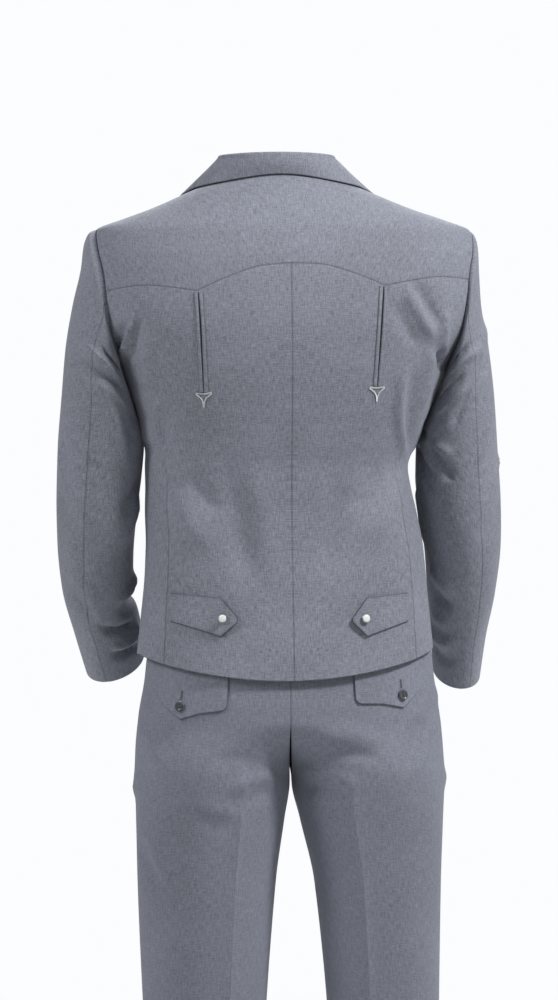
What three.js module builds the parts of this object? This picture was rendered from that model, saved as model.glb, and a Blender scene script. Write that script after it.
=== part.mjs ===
// Western suit, worn: a hollow jacket and trousers, every sewn piece a closed cloth wall.
// Millimetres. +Z up, +X the wearer's right, -Y the wearer's back. The origin is the point
// between the shoulders, level with the base of the neck, where the wearer carries the jacket.
import * as THREE from "three";

// ---- driving sizes -------------------------------------------------------------------------
const CLOTH = 2.0; // wall of the jacket cloth with its canvas
const TROUSER_CLOTH = 1.6; // wall of the trouser cloth
const GAP = 0.3; // clearance between two pieces that meet or lie on each other
const HALF_GAP = GAP / 2 + 0.03; // what each edge gives up at a seam
const LAID = 1.0; // clearance under a piece that lies on a panel, so that their facets clear too
const SHOULDER_Z = -50; // shoulder tip, where the armhole starts
const ARMHOLE = { z: -132, height: 82, sweep: 28 }; // ellipse on the torso: centre, half sizes
const SIDE_TOP_Z = -181; // where the side-back seam leaves the armhole
const SIDE_SWEEP = ARMHOLE.sweep * Math.sqrt(1 - ((SIDE_TOP_Z - ARMHOLE.z) / ARMHOLE.height) ** 2);
const LEAN = 0.035; // the worn jacket hangs lower on the wearer's left by this slope
const HEM = { side: -561, back: -597, front: -593, lean: 4 };
const COLLAR_ENDS = 126; // degrees round from the centre back
const LAPEL = { top: -34, bottom: -318, rightBottom: -262, wide: 84, narrow: 7 };
const FRONT_LAP = 18; // past the centre front
const LEFT_FRONT_LIFT = CLOTH + LAID + GAP; // the left front lies over the right one
const WAISTBAND = { top: -480, height: 40 };
const CROTCH_Z = -719;
const SEAT_Z = -648; // below it the seat divides into two legs
const TROUSER_HEM_Z = -1529;
const TROUSER_X = 8; // the hips stand a little to the wearer's right of the neck
const CREASE = { at: 0.4, width: 0.07, height: 5 }; // pressed crease: place and size on a leg
const SNAP = { radius: 5.2, height: 2.6 };
const POCKET_BUTTON = { radius: 6.5, height: 3 };
const FRONT_BUTTON = { radius: 9, height: 3.4, z: [-338, -432] };

// ---- tables --------------------------------------------------------------------------------
// The jacket's torso: half width, depth behind and before the shoulder line, sideways shift,
// and the power that squares the section off.
const TORSO = [
  { z: 26, a: 59, back: 57, front: 34, x: -7, n: 2.0 },
  { z: 10, a: 77, back: 66, front: 52, x: -6, n: 2.1 },
  { z: 0, a: 101, back: 74, front: 62, x: -5, n: 2.15 },
  { z: -25, a: 160, back: 90, front: 78, x: -2, n: 2.25 },
  { z: -38, a: 197, back: 97, front: 86, x: 0, n: 2.35 },
  { z: -50, a: 227, back: 103, front: 92, x: 0, n: 2.4 },
  { z: -62, a: 233, back: 107, front: 97, x: 0, n: 2.4 },
  { z: -85, a: 238, back: 114, front: 106, x: 0, n: 2.4 },
  { z: -120, a: 239, back: 120, front: 116, x: 0, n: 2.4 },
  { z: -166, a: 229, back: 124, front: 124, x: 0, n: 2.4 },
  { z: -214, a: 199, back: 122, front: 127, x: 0, n: 2.4 },
  { z: -260, a: 182, back: 116, front: 126, x: 0, n: 2.4 },
  { z: -310, a: 165, back: 106, front: 121, x: -3, n: 2.4 },
  { z: -338, a: 160, back: 100, front: 118, x: -8, n: 2.4 },
  { z: -362, a: 161.5, back: 98, front: 117, x: -6, n: 2.4 },
  { z: -390, a: 165, back: 96, front: 116, x: -3, n: 2.4 },
  { z: -437, a: 169, back: 98, front: 116, x: 2, n: 2.4 },
  { z: -480, a: 172, back: 103, front: 117, x: 3, n: 2.4 },
  { z: -520, a: 176, back: 107, front: 118, x: 3, n: 2.4 },
  { z: -560, a: 180, back: 111, front: 120, x: 3, n: 2.4 },
  { z: -600, a: 185, back: 113.5, front: 122, x: 3, n: 2.4 },
];

// Largest folds of the jacket: a soft line from one place to another on the back, its half
// width, and how far it stands out of (+) or sinks into (-) the cloth.
const BACK_FOLDS = [
  { x0: -205, z0: -150, x1: -165, z1: -300, wide: 16, rise: 7 },
  { x0: -178, z0: -175, x1: -146, z1: -300, wide: 12, rise: -5 },
  { x0: 208, z0: -155, x1: 158, z1: -315, wide: 15, rise: 6 },
  { x0: 182, z0: -165, x1: 140, z1: -300, wide: 13, rise: -5 },
  { x0: -60, z0: -335, x1: -18, z1: -480, wide: 26, rise: -4 },
  { x0: 60, z0: -330, x1: 22, z1: -470, wide: 26, rise: -4 },
  { x0: -128, z0: -350, x1: -70, z1: -430, wide: 24, rise: 4 },
  { x0: 128, z0: -345, x1: 70, z1: -425, wide: 24, rise: 4 },
];

// The yoke seam: share of the way from the centre back to the armhole, and its height.
const YOKE = [
  { u: 0, z: -93 },
  { u: 0.13, z: -95.5 },
  { u: 0.27, z: -106 },
  { u: 0.44, z: -123.5 },
  { u: 0.56, z: -118.5 },
  { u: 0.72, z: -114.5 },
  { u: 0.88, z: -116.5 },
  { u: 1, z: -119 },
];
const YOKE_POINT = 0.44; // the scallop's point, where the two arcs meet in a corner

// Angles from the centre back of the side-back seam and of the seam between side and front.
const SIDE_SEAMS = [
  { z: SIDE_TOP_Z, back: 90 - SIDE_SWEEP, front: 90 + SIDE_SWEEP },
  { z: -230, back: 63, front: 108 },
  { z: -300, back: 58.5, front: 106 },
  { z: -376, back: 54.5, front: 105 },
  { z: -470, back: 55, front: 105 },
  { z: -600, back: 52.5, front: 105 },
];

// Distance of each front's edge from the centre front, on its own side (+) or past it (-).
const FRONT_EDGE = [
  { z: 10, x: 64 },
  { z: -100, x: 40 },
  { z: -330, x: -FRONT_LAP },
  { z: -520, x: -FRONT_LAP },
  { z: -560, x: -8 },
  { z: -600, x: 24 },
];

// Sleeves: outer and inner edge of each ring as seen from behind, how far forward its centre
// lies, half its depth, its tilt as the elbow bends, and the back seam's angle from the top.
const SLEEVES = {
  left: [
    { v: 0, ox: 227, oz: -50, ix: 199, iz: -214, y: 0, deep: 58, tilt: 0, seam: 97 },
    { v: 0.02, ox: 236, oz: -54, ix: 199, iz: -217, y: 0, deep: 60, tilt: 0, seam: 95 },
    { v: 0.05, ox: 242, oz: -68, ix: 198, iz: -222, y: 1, deep: 63, tilt: 0, seam: 92 },
    { v: 0.12, ox: 246, oz: -98, ix: 194, iz: -234, y: 3, deep: 67.5, tilt: 0, seam: 84 },
    { v: 0.2, ox: 255.5, oz: -140, ix: 187, iz: -250, y: 7, deep: 71, tilt: 0, seam: 74 },
    { v: 0.3, ox: 264, oz: -194, ix: 177.5, iz: -276, y: 14, deep: 72, tilt: 1, seam: 68 },
    { v: 0.4, ox: 268.5, oz: -252, ix: 168, iz: -308, y: 20, deep: 70, tilt: 3, seam: 68 },
    { v: 0.5, ox: 273, oz: -318, ix: 171, iz: -350, y: 26, deep: 69, tilt: 7, seam: 68 },
    { v: 0.6, ox: 274, oz: -376, ix: 176.5, iz: -396, y: 33, deep: 66, tilt: 15, seam: 68 },
    { v: 0.7, ox: 272, oz: -430, ix: 179, iz: -440, y: 49, deep: 62, tilt: 25, seam: 68 },
    { v: 0.8, ox: 265, oz: -484, ix: 177, iz: -486, y: 76, deep: 58, tilt: 33, seam: 68 },
    { v: 0.9, ox: 247.5, oz: -540, ix: 166, iz: -527, y: 111, deep: 55, tilt: 32, seam: 68 },
    { v: 1, ox: 230.5, oz: -590, ix: 159, iz: -567, y: 144, deep: 52, tilt: 24, seam: 68 },
  ],
  right: [
    { v: 0, ox: 227, oz: -50, ix: 199, iz: -214, y: 0, deep: 58, tilt: 0, seam: 97 },
    { v: 0.02, ox: 232, oz: -54, ix: 199, iz: -217, y: 0, deep: 60, tilt: 0, seam: 95 },
    { v: 0.05, ox: 236, oz: -67, ix: 198, iz: -222, y: 1, deep: 63, tilt: 0, seam: 92 },
    { v: 0.12, ox: 239, oz: -98, ix: 194, iz: -234, y: 3, deep: 67.5, tilt: 0, seam: 84 },
    { v: 0.2, ox: 242.5, oz: -140, ix: 187, iz: -250, y: 7, deep: 71, tilt: 0, seam: 74 },
    { v: 0.3, ox: 253, oz: -194, ix: 177, iz: -276, y: 14, deep: 72, tilt: 1, seam: 67 },
    { v: 0.4, ox: 260.5, oz: -252, ix: 165.5, iz: -308, y: 20, deep: 70, tilt: 3, seam: 67 },
    { v: 0.5, ox: 265.5, oz: -318, ix: 165, iz: -350, y: 26, deep: 69, tilt: 7, seam: 67 },
    { v: 0.6, ox: 270, oz: -376, ix: 171, iz: -396, y: 33, deep: 66, tilt: 15, seam: 67 },
    { v: 0.7, ox: 272, oz: -430, ix: 178.5, iz: -440, y: 50, deep: 62, tilt: 25, seam: 66 },
    { v: 0.8, ox: 268.5, oz: -484, ix: 184.5, iz: -488, y: 77, deep: 58, tilt: 33, seam: 66 },
    { v: 0.9, ox: 261, oz: -539, ix: 192, iz: -540, y: 112, deep: 54, tilt: 32, seam: 66 },
    { v: 1, ox: 257, oz: -592, ix: 199, iz: -589, y: 146, deep: 52, tilt: 24, seam: 66 },
  ],
};
const UNDER_SEAM = 248; // the sleeve's front seam, degrees round from the top by way of the back

// Trouser hips: half width, depth behind and before, and the power of the section.
const HIPS = [
  { z: -480, a: 156, back: 86, front: 88, n: 2.3 },
  { z: -520, a: 162, back: 93, front: 94, n: 2.3 },
  { z: -560, a: 172.4, back: 101, front: 99, n: 2.3 },
  { z: -600, a: 177, back: 106, front: 100, n: 2.3 },
  { z: -640, a: 184, back: 110, front: 101, n: 2.25 },
  { z: -690, a: 188, back: 110, front: 100, n: 2.2 },
  { z: CROTCH_Z, a: 188, back: 106, front: 98, n: 2.1 },
];

// Trouser legs: inner and outer edge of each leg as seen from behind, its depth behind and
// before its own middle, and where that middle lies.
const LEGS = [
  { z: -640, li: 3, lo: -178, ri: 11, ro: 192, back: 110, front: 101, y: 0 },
  { z: CROTCH_Z, li: 8, lo: -181, ri: 10.5, ro: 197, back: 104, front: 94, y: 0 },
  { z: -766, li: 1.5, lo: -179, ri: 21, ro: 195.5, back: 99, front: 91, y: 1 },
  { z: -844, li: -9, lo: -177, ri: 39, ro: 193, back: 91, front: 86, y: 2 },
  { z: -1080, li: -25, lo: -166, ri: 60, ro: 190, back: 72, front: 72, y: 6 },
  { z: -1300, li: -34, lo: -157, ri: 66, ro: 184, back: 68, front: 70, y: 3 },
  { z: TROUSER_HEM_Z, li: -40, lo: -155, ri: 68, ro: 180, back: 71, front: 71, y: 0 },
];

const CENTRE_BACK = { topZ: -130, hemZ: -600, hemX: 4 };

// Half-belt tab: from the side-back seam to its point, upper and lower edge.
const TAB = [
  { x: 143.5, top: -491, low: -525 },
  { x: 88, top: -497, low: -543.5 },
  { x: 68.5, top: -522.5, low: -525 },
];
const TAB_SHIFT = { outer: 1.5, inner: 5.5 }; // both tabs sit a little to the wearer's right
const TAB_SNAP = { x: 85.6, z: -521.5 };

// Piped slit below each yoke point: it leans in as it goes down.
const SLIT = { topX: 112, bottomX: 104.5, topZ: -125, bottomZ: -245, lip: 5.2 };
const ARROWHEAD = { wide: 20.5, tall: 19, thick: 1.2 };

// Back-pocket flap, as shares of the way round from centre back to side, and heights.
const FLAP = [
  { t: 0.445, top: -571, low: -624 },
  { t: 0.461, top: -571, low: -629 },
  { t: 0.56, top: -571, low: -631 },
  { t: 0.648, top: -570, low: -637 },
  { t: 0.765, top: -568, low: -613 },
  { t: 0.778, top: -567, low: -606 },
];
const FLAP_LEAN = 0.05; // the flaps hang lower on the wearer's left by this slope
const FLAP_BUTTON = { t: 0.648, z: -621.5 };

// ---- small helpers -------------------------------------------------------------------------
const DEGREE = Math.PI / 180;
const lerp = THREE.MathUtils.lerp;
const clamp = THREE.MathUtils.clamp;
const ease = (value) => THREE.MathUtils.smoothstep(value, 0, 1);
const steps = (count, from = 0, to = 1) =>
  Array.from({ length: count + 1 }, (_, i) => lerp(from, to, i / count));

// A smooth curve through one column of a table, without overshoot between its rows.
function curve(rows, key, column) {
  const sorted = [...rows].sort((p, q) => p[key] - q[key]);
  const xs = sorted.map((row) => row[key]);
  const ys = sorted.map((row) => row[column]);
  const last = xs.length - 1;
  const rise = steps(last - 1, 0, last - 1).map((i) => (ys[i + 1] - ys[i]) / (xs[i + 1] - xs[i]));
  const slope = ys.map((_, i) => {
    if (i === 0) return rise[0];
    if (i === last) return rise[last - 1];
    if (rise[i - 1] * rise[i] <= 0) return 0;
    return (2 * rise[i - 1] * rise[i]) / (rise[i - 1] + rise[i]);
  });
  return (at) => {
    const x = clamp(at, xs[0], xs[last]);
    let i = 0;
    while (i < last - 1 && x > xs[i + 1]) i += 1;
    const h = xs[i + 1] - xs[i];
    const t = (x - xs[i]) / h;
    const rest = 1 - t;
    const bend = t * rest * h * (slope[i] * rest - slope[i + 1] * t);
    const middle = t * t * (3 - 2 * t);
    return ys[i] * (1 - middle) + ys[i + 1] * middle + bend;
  };
}

// One curve for each column of a table but its key.
function curves(rows, key) {
  const names = Object.keys(rows[0]).filter((name) => name !== key);
  return Object.fromEntries(names.map((name) => [name, curve(rows, key, name)]));
}

// Straight lines through one column of a table.
function lines(rows, key, column) {
  return (at) => {
    let i = 0;
    const up = rows[1][key] > rows[0][key];
    while (i < rows.length - 2 && (up ? at > rows[i + 1][key] : at < rows[i + 1][key])) i += 1;
    const t = (at - rows[i][key]) / (rows[i + 1][key] - rows[i][key]);
    return lerp(rows[i][column], rows[i + 1][column], clamp(t, 0, 1));
  };
}

// A point of a squared-off ellipse of half sizes 1, at an angle from the centre back.
function section(angle, n) {
  const s = Math.sin(angle);
  const c = Math.cos(angle);
  const reach = (Math.abs(s) ** n + Math.abs(c) ** n) ** (-1 / n);
  return { across: s * reach, deep: c * reach };
}

// The angle, in degrees, at which that section is a given share of its half width across.
function angleAcross(share, n) {
  const across = clamp(share, -0.9999, 0.9999);
  return Math.atan2(across, (1 - Math.abs(across) ** n) ** (1 / n)) / DEGREE;
}

// ---- cloth walls ---------------------------------------------------------------------------
// The unit normal of a surface of two shares, by small steps inside its limits.
function normalOf(surface, u, v, us, vs) {
  const step = 1e-3;
  const u0 = Math.max(u - step, us[0]);
  const u1 = Math.min(u + step, us[us.length - 1]);
  const v0 = Math.max(v - step, vs[0]);
  const v1 = Math.min(v + step, vs[vs.length - 1]);
  const alongU = surface(u1, v).sub(surface(u0, v));
  const alongV = surface(u, v1).sub(surface(u, v0));
  return alongU.cross(alongV).normalize();
}

// The normals of a surface, all turned the way that leads away from `core` at its middle.
function normalsFrom(surface, us, vs, core) {
  const middle = [us[us.length >> 1], vs[vs.length >> 1]];
  const away = surface(...middle).sub(core(surface(...middle)));
  const facing = Math.sign(normalOf(surface, ...middle, us, vs).dot(away)) || 1;
  return (u, v) => normalOf(surface, u, v, us, vs).multiplyScalar(facing);
}

// A closed wall on a surface: its outer and inner faces lie `outer` and `inner` from it along
// its normals, and four rims join them.
function wall({ surface, us, vs, inner, outer, core, normal = normalsFrom(surface, us, vs, core) }) {
  const points = [];
  for (const distance of [outer, inner]) {
    for (const v of vs) {
      for (const u of us) points.push(surface(u, v).addScaledVector(normal(u, v), distance));
    }
  }
  const across = us.length;
  const layer = across * vs.length;
  const index = [];
  // Opposite rims are cut along the same diagonal, so that two pieces fit at a twisted seam.
  const quad = (a, b, c, d) => index.push(a, b, c, a, c, d);
  const at = (i, j, deep) => deep * layer + j * across + i;
  for (let j = 0; j < vs.length - 1; j += 1) {
    for (let i = 0; i < across - 1; i += 1) {
      quad(at(i, j, 0), at(i + 1, j, 0), at(i + 1, j + 1, 0), at(i, j + 1, 0));
      quad(at(i, j, 1), at(i, j + 1, 1), at(i + 1, j + 1, 1), at(i + 1, j, 1));
    }
    quad(at(0, j, 1), at(0, j, 0), at(0, j + 1, 0), at(0, j + 1, 1));
    const last = across - 1;
    quad(at(last, j, 1), at(last, j + 1, 1), at(last, j + 1, 0), at(last, j, 0));
  }
  for (let i = 0; i < across - 1; i += 1) {
    const end = vs.length - 1;
    quad(at(i, 0, 0), at(i, 0, 1), at(i + 1, 0, 1), at(i + 1, 0, 0));
    quad(at(i, end, 0), at(i + 1, end, 0), at(i + 1, end, 1), at(i, end, 1));
  }
  return closedGeometry(points, index);
}

// A closed body from points and triangles, turned so that its faces look outward.
function closedGeometry(points, index) {
  let volume = 0;
  const cross = new THREE.Vector3();
  for (let k = 0; k < index.length; k += 3) {
    cross.crossVectors(points[index[k + 1]], points[index[k + 2]]);
    volume += points[index[k]].dot(cross);
  }
  if (volume < 0) index.reverse();
  const geometry = new THREE.BufferGeometry().setFromPoints(points);
  geometry.setIndex(index);
  geometry.computeVertexNormals();
  return geometry;
}

// ---- the jacket's torso --------------------------------------------------------------------
const torsoAt = curves(TORSO, "z");

// Height of the jacket's folds at a place on the back: each is a soft ridge or trough.
function foldRise(x, z) {
  let rise = 0;
  for (const fold of BACK_FOLDS) {
    const dx = fold.x1 - fold.x0;
    const dz = fold.z1 - fold.z0;
    const length = Math.hypot(dx, dz);
    const t = ((x - fold.x0) * dx + (z - fold.z0) * dz) / length ** 2;
    const aside = ((x - fold.x0) * dz - (z - fold.z0) * dx) / length;
    const fade = ease(t / 0.3) * ease((1 - t) / 0.3);
    rise += fold.rise * fade * Math.exp(-((aside / fold.wide) ** 2));
  }
  return rise;
}

// A point of the jacket's cloth at an angle, in degrees, from the centre back.
function torso(degrees, z) {
  const { across, deep } = section(degrees * DEGREE, torsoAt.n(z));
  const depth = deep > 0 ? torsoAt.back(z) : torsoAt.front(z);
  const point = new THREE.Vector3(torsoAt.x(z) + torsoAt.a(z) * across, -depth * deep, z);
  if (deep > 0) point.y -= foldRise(point.x, z) * deep;
  return point;
}

const torsoCore = (point) => new THREE.Vector3(0, 10, Math.min(point.z, -150));
const backAngle = (x, z) => angleAcross((x - torsoAt.x(z)) / torsoAt.a(z), torsoAt.n(z));
const frontAngle = (x, z) => 180 - backAngle(x, z);

function torsoNormal(degrees, z) {
  const along = torso(degrees + 0.1, z).sub(torso(degrees - 0.1, z));
  const up = torso(degrees, z + 0.2).sub(torso(degrees, z - 0.2));
  return along.cross(up).normalize();
}

// How far the armhole is from the side of the torso, in degrees, at a height.
function armholeSweep(z) {
  const share = (z - ARMHOLE.z) / ARMHOLE.height;
  return ARMHOLE.sweep * Math.sqrt(Math.max(0, 1 - share ** 2));
}

const sideBack = curve(SIDE_SEAMS, "z", "back");
const sideFront = curve(SIDE_SEAMS, "z", "front");
const seamShare = (z) => HALF_GAP / (torsoAt.a(z) * DEGREE); // a seam's half gap, in degrees

// The outer edge of the back, and of the front: shoulder seam, armhole, then the side's seam.
function backEdge(z) {
  if (z >= SHOULDER_Z) return 90 - seamShare(z) * (torsoAt.a(z) / torsoAt.back(z));
  if (z > SIDE_TOP_Z) return 90 - armholeSweep(z);
  return sideBack(z) - seamShare(z);
}

function outerFrontEdge(z) {
  if (z >= SHOULDER_Z) return 90 + seamShare(z) * (torsoAt.a(z) / torsoAt.front(z));
  if (z > SIDE_TOP_Z) return 90 + armholeSweep(z);
  return sideFront(z) + seamShare(z);
}

const NECK_Z = { back: 23, side: 8 };
const neckHeight = (degrees) =>
  NECK_Z.side + (NECK_Z.back - NECK_Z.side) * Math.max(0, Math.cos(degrees * DEGREE)) ** 2;

// Height of the jacket's hem at an angle round the body: it too hangs lower on the left.
function hemHeight(degrees) {
  const round = Math.cos(degrees * DEGREE);
  const level = HEM.side + ((round > 0 ? HEM.back : HEM.front) - HEM.side) * round ** 2;
  return level + HEM.lean * Math.sin(degrees * DEGREE);
}

const ARMHOLE_X = 221;
const leanAt = (share) => LEAN * ARMHOLE_X * share;

// The yoke seam: two scallops on each side that meet in a point.
function yokeSeam(share) {
  const across = Math.abs(share);
  const inside = YOKE.filter((row) => row.u <= YOKE_POINT);
  const outside = YOKE.filter((row) => row.u >= YOKE_POINT);
  const height = curve(across <= YOKE_POINT ? inside : outside, "u", "z")(across);
  return height + leanAt(share);
}

const BACK_COLUMNS = [0, 0.13, 0.27, 0.36, YOKE_POINT, 0.52, 0.66, 0.84, 1];

function backYoke() {
  const turn = 0.4; // share of the rows above the shoulder tips
  const surface = (u, v) => {
    const top = neckHeight(u * 90);
    const middle = lerp(-32, SHOULDER_Z, u ** 2);
    const low = yokeSeam(u) + GAP / 2;
    const z = v < turn ? lerp(top, middle, v / turn) : lerp(middle, low, (v - turn) / (1 - turn));
    return torso(u * backEdge(z), z);
  };
  const us = [...BACK_COLUMNS.slice(1).reverse().map((u) => -u), ...BACK_COLUMNS];
  const vs = [0, 0.13, 0.27, turn, 0.6, 0.8, 1];
  return wall({ surface, us, vs, inner: -CLOTH, outer: 0, core: torsoCore });
}

const BODY_ROWS = 12; // rows of facets between the armhole and the hem
const CORNER_ROW = 0.12; // share of a lower back's rows above the armhole's end

// The centre-back seam's angle: it runs straight, whichever way the waist leans.
function centreBack(z) {
  const { topZ, hemZ, hemX } = CENTRE_BACK;
  return backAngle(hemX * clamp((topZ - z) / (topZ - hemZ), 0, 1), z);
}

function backPanel(side) {
  const surface = (u, v) => {
    const top = yokeSeam(side * u) - GAP / 2;
    const low = hemHeight(side * u * 53);
    const z =
      v < CORNER_ROW
        ? lerp(top, SIDE_TOP_Z, v / CORNER_ROW)
        : lerp(SIDE_TOP_Z, low, (v - CORNER_ROW) / (1 - CORNER_ROW));
    return torso(lerp(centreBack(z) + side * seamShare(z), side * backEdge(z), u), z);
  };
  const vs = [0, 0.06, ...steps(BODY_ROWS, CORNER_ROW)];
  return wall({ surface, us: BACK_COLUMNS, vs, inner: -CLOTH, outer: 0, core: torsoCore });
}

function sidePanel(side) {
  const angleAt = (w, z) => lerp(sideBack(z) + seamShare(z), sideFront(z) - seamShare(z), w);
  const topAt = (w) => {
    let z = SIDE_TOP_Z;
    for (let i = 0; i < 12; i += 1) {
      const share = clamp((90 - angleAt(w, z)) / ARMHOLE.sweep, -1, 1);
      z = lerp(z, ARMHOLE.z - ARMHOLE.height * Math.sqrt(1 - share ** 2), 0.7);
    }
    return z;
  };
  const surface = (w, v) => {
    const z = lerp(topAt(w), hemHeight(side * angleAt(w, HEM.side)), v);
    return torso(side * angleAt(w, z), z);
  };
  const vs = steps(BODY_ROWS);
  return wall({ surface, us: steps(4), vs, inner: -CLOTH, outer: 0, core: torsoCore });
}

// ---- fronts and lapels ---------------------------------------------------------------------
const frontEdgeX = curve(FRONT_EDGE, "z", "x");

// A point of a front: the left one is carried over the right one near the centre front.
function frontPoint(side, degrees, z) {
  const point = torso(side * degrees, z);
  if (side < 0) point.y += LEFT_FRONT_LIFT * ease((95 + point.x) / 45);
  return point;
}

function frontPanel(side) {
  const rows = [0, 0.1, 0.34];
  const surface = (u, v) => {
    const heights = [NECK_Z.side, lerp(SHOULDER_Z, -42, u), SIDE_TOP_Z];
    heights.push(hemHeight(side * lerp(105, 180, u)));
    const k = v < rows[1] ? 0 : v < rows[2] ? 1 : 2;
    const z = lerp(heights[k], heights[k + 1], (v - rows[k]) / ((rows[k + 1] ?? 1) - rows[k]));
    return frontPoint(side, lerp(outerFrontEdge(z), frontAngle(frontEdgeX(z), z), u), z);
  };
  const us = [0, 0.2, 0.42, 0.62, 0.82, 1];
  const vs = [0, 0.05, 0.1, 0.125, 0.18, 0.26, ...steps(BODY_ROWS, rows[2])];
  return wall({ surface, us, vs, inner: -CLOTH, outer: 0, core: torsoCore });
}

function lapel(side) {
  const low = side < 0 ? LAPEL.bottom : LAPEL.rightBottom; // the left front hides the rest
  const surface = (u, v) => {
    const z = lerp(LAPEL.top - 12 * u, low, v);
    const width = lerp(LAPEL.wide, LAPEL.narrow, ((LAPEL.top - z) / (LAPEL.top - LAPEL.bottom)) ** 1.3);
    const edge = frontEdgeX(z) + 1;
    const start = side < 0 ? edge : Math.max(edge, 3 - frontEdgeX(z)); // clear of the left front
    return frontPoint(side, frontAngle(lerp(start, edge + width, u), z), z);
  };
  const inner = LAID + GAP;
  return wall({ surface, us: steps(4), vs: steps(10), inner, outer: inner + CLOTH, core: torsoCore });
}

function frontButton(side, z) {
  const degrees = side * frontAngle(0, z);
  const base = frontPoint(side, degrees, z);
  return disc(FRONT_BUTTON, base, torsoNormal(degrees, z), 2 * GAP);
}

// A round button or snap cap on a surface, a gap clear of it.
function disc({ radius, height }, base, normal, clear) {
  const profile = [
    [0, 0],
    [radius * 0.9, 0],
    [radius, height * 0.3],
    [radius * 0.94, height * 0.72],
    [radius * 0.6, height],
    [0, height],
  ];
  const geometry = new THREE.LatheGeometry(profile.map(([x, y]) => new THREE.Vector2(x, y)), 20);
  const turn = new THREE.Quaternion().setFromUnitVectors(new THREE.Vector3(0, 1, 0), normal);
  geometry.applyQuaternion(turn);
  const place = base.clone().addScaledVector(normal, clear);
  geometry.translate(place.x, place.y, place.z);
  return geometry;
}

// ---- collar --------------------------------------------------------------------------------
// Its section runs up the stand, over the fold and down the fall, round the back of the neck.
const COLLAR = { foldBack: 42, foldSide: 40, foldFront: 20, roll: 3.2, halfWide: 68, x: -8 };
const BULGE = { back: 2, side: 1.5 }; // how full the fall is, half way down
const FALL = { back: 15, front: -33, frontX: 80 };

function collarSection(degrees) {
  const angle = Math.abs(degrees);
  const side = Math.sign(degrees) || 1;
  const sin = Math.sin(angle * DEGREE);
  const cos = Math.cos(angle * DEGREE);
  const ahead = clamp((angle - 90) / (COLLAR_ENDS - 90), 0, 1);
  const radial = new THREE.Vector3(side * sin, -cos, 0);
  const fold = new THREE.Vector3(side * COLLAR.halfWide * sin, -(cos > 0 ? 63 : 56) * cos, 0);
  fold.x += COLLAR.x;
  fold.z = lerp(COLLAR.foldBack, COLLAR.foldSide, sin ** 2);
  fold.z = lerp(fold.z, COLLAR.foldFront, ahead ** 1.3);
  const standLow = torso(degrees, neckHeight(angle) + GAP);
  standLow.addScaledVector(radial, -CLOTH / 2);
  const fallZ = lerp(FALL.back * Math.max(0, cos) ** 2, FALL.front, ahead);
  const frontEnd = frontAngle(FALL.frontX, FALL.front);
  const fallAngle = lerp(Math.min(angle, 90), frontEnd, ahead);
  const fallLow = torso(side * fallAngle, fallZ);
  const clear = lerp(1.8 * LAID, 2.4 * LAID, ahead);
  fallLow.addScaledVector(torsoNormal(side * fallAngle, fallZ), CLOTH / 2 + clear);
  const full = lerp(BULGE.back, BULGE.side, sin ** 2);
  return { radial, fold, standLow, fallLow, full };
}

function collar() {
  const stand = 0.3;
  const rolled = 0.55;
  const surface = (u, v) => {
    const { radial, fold, standLow, fallLow, full } = collarSection(u * COLLAR_ENDS);
    const eye = fold.clone().setZ(fold.z - COLLAR.roll);
    const roll = (turn) =>
      eye
        .clone()
        .addScaledVector(radial, -COLLAR.roll * Math.cos(turn))
        .add(new THREE.Vector3(0, 0, COLLAR.roll * Math.sin(turn)));
    if (v < stand) return standLow.lerp(roll(0), v / stand);
    if (v < rolled) return roll((Math.PI * (v - stand)) / (rolled - stand));
    const t = (v - rolled) / (1 - rolled);
    const bulge = full * Math.sin(Math.PI * t) * (1 - 0.4 * t);
    return roll(Math.PI).lerp(fallLow, t).addScaledVector(radial, bulge);
  };
  const vs = [0, 0.16, stand, 0.38, 0.47, rolled, 0.7, 0.85, 1];
  const core = (point) => point.clone().setZ(point.z - 100);
  return wall({ surface, us: steps(20, -1), vs, inner: -CLOTH / 2, outer: CLOTH / 2, core });
}

// ---- sleeves -------------------------------------------------------------------------------
const SLEEVE_CURVES = {
  "-1": curves(SLEEVES.left, "v"),
  1: curves(SLEEVES.right, "v"),
};
const HEAD_SHARE = 0.2; // share of the sleeve over which the armhole's shape fades out

// The armhole's loop on the torso, by angle from its top round by way of the back.
function armholeLoop(side, round) {
  const degrees = 90 - ARMHOLE.sweep * Math.sin(round * DEGREE);
  const z = ARMHOLE.z + ARMHOLE.height * Math.cos(round * DEGREE);
  return { degrees: side * degrees, z, point: torso(side * degrees, z) };
}

function sleeveRing(side, round, v) {
  const row = SLEEVE_CURVES[side];
  const cos = Math.cos(round * DEGREE);
  const sin = Math.sin(round * DEGREE);
  const tilt = row.tilt(v) * DEGREE;
  const x = (row.ox(v) * (1 + cos) + row.ix(v) * (1 - cos)) / 2;
  const z = (row.oz(v) * (1 + cos) + row.iz(v) * (1 - cos)) / 2;
  const deep = row.deep(v) * sin;
  return new THREE.Vector3(side * x, row.y(v) - deep * Math.cos(tilt), z - deep * Math.sin(tilt));
}

function sleevePoint(side, round, v) {
  const fade = Math.max(0, 1 - v / HEAD_SHARE) ** 2;
  const point = sleeveRing(side, round, v);
  if (fade > 0) {
    const miss = armholeLoop(side, round).point.sub(sleeveRing(side, round, 0));
    point.addScaledVector(miss, fade);
  }
  return point;
}

function sleeveNormal(side, round, v) {
  const around = sleevePoint(side, round + 0.5, v).sub(sleevePoint(side, round - 0.5, v));
  const low = Math.min(v + 1e-3, 1);
  const down = sleevePoint(side, round, low).sub(sleevePoint(side, round, low - 2e-3));
  return around.cross(down).normalize().multiplyScalar(side);
}

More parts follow.
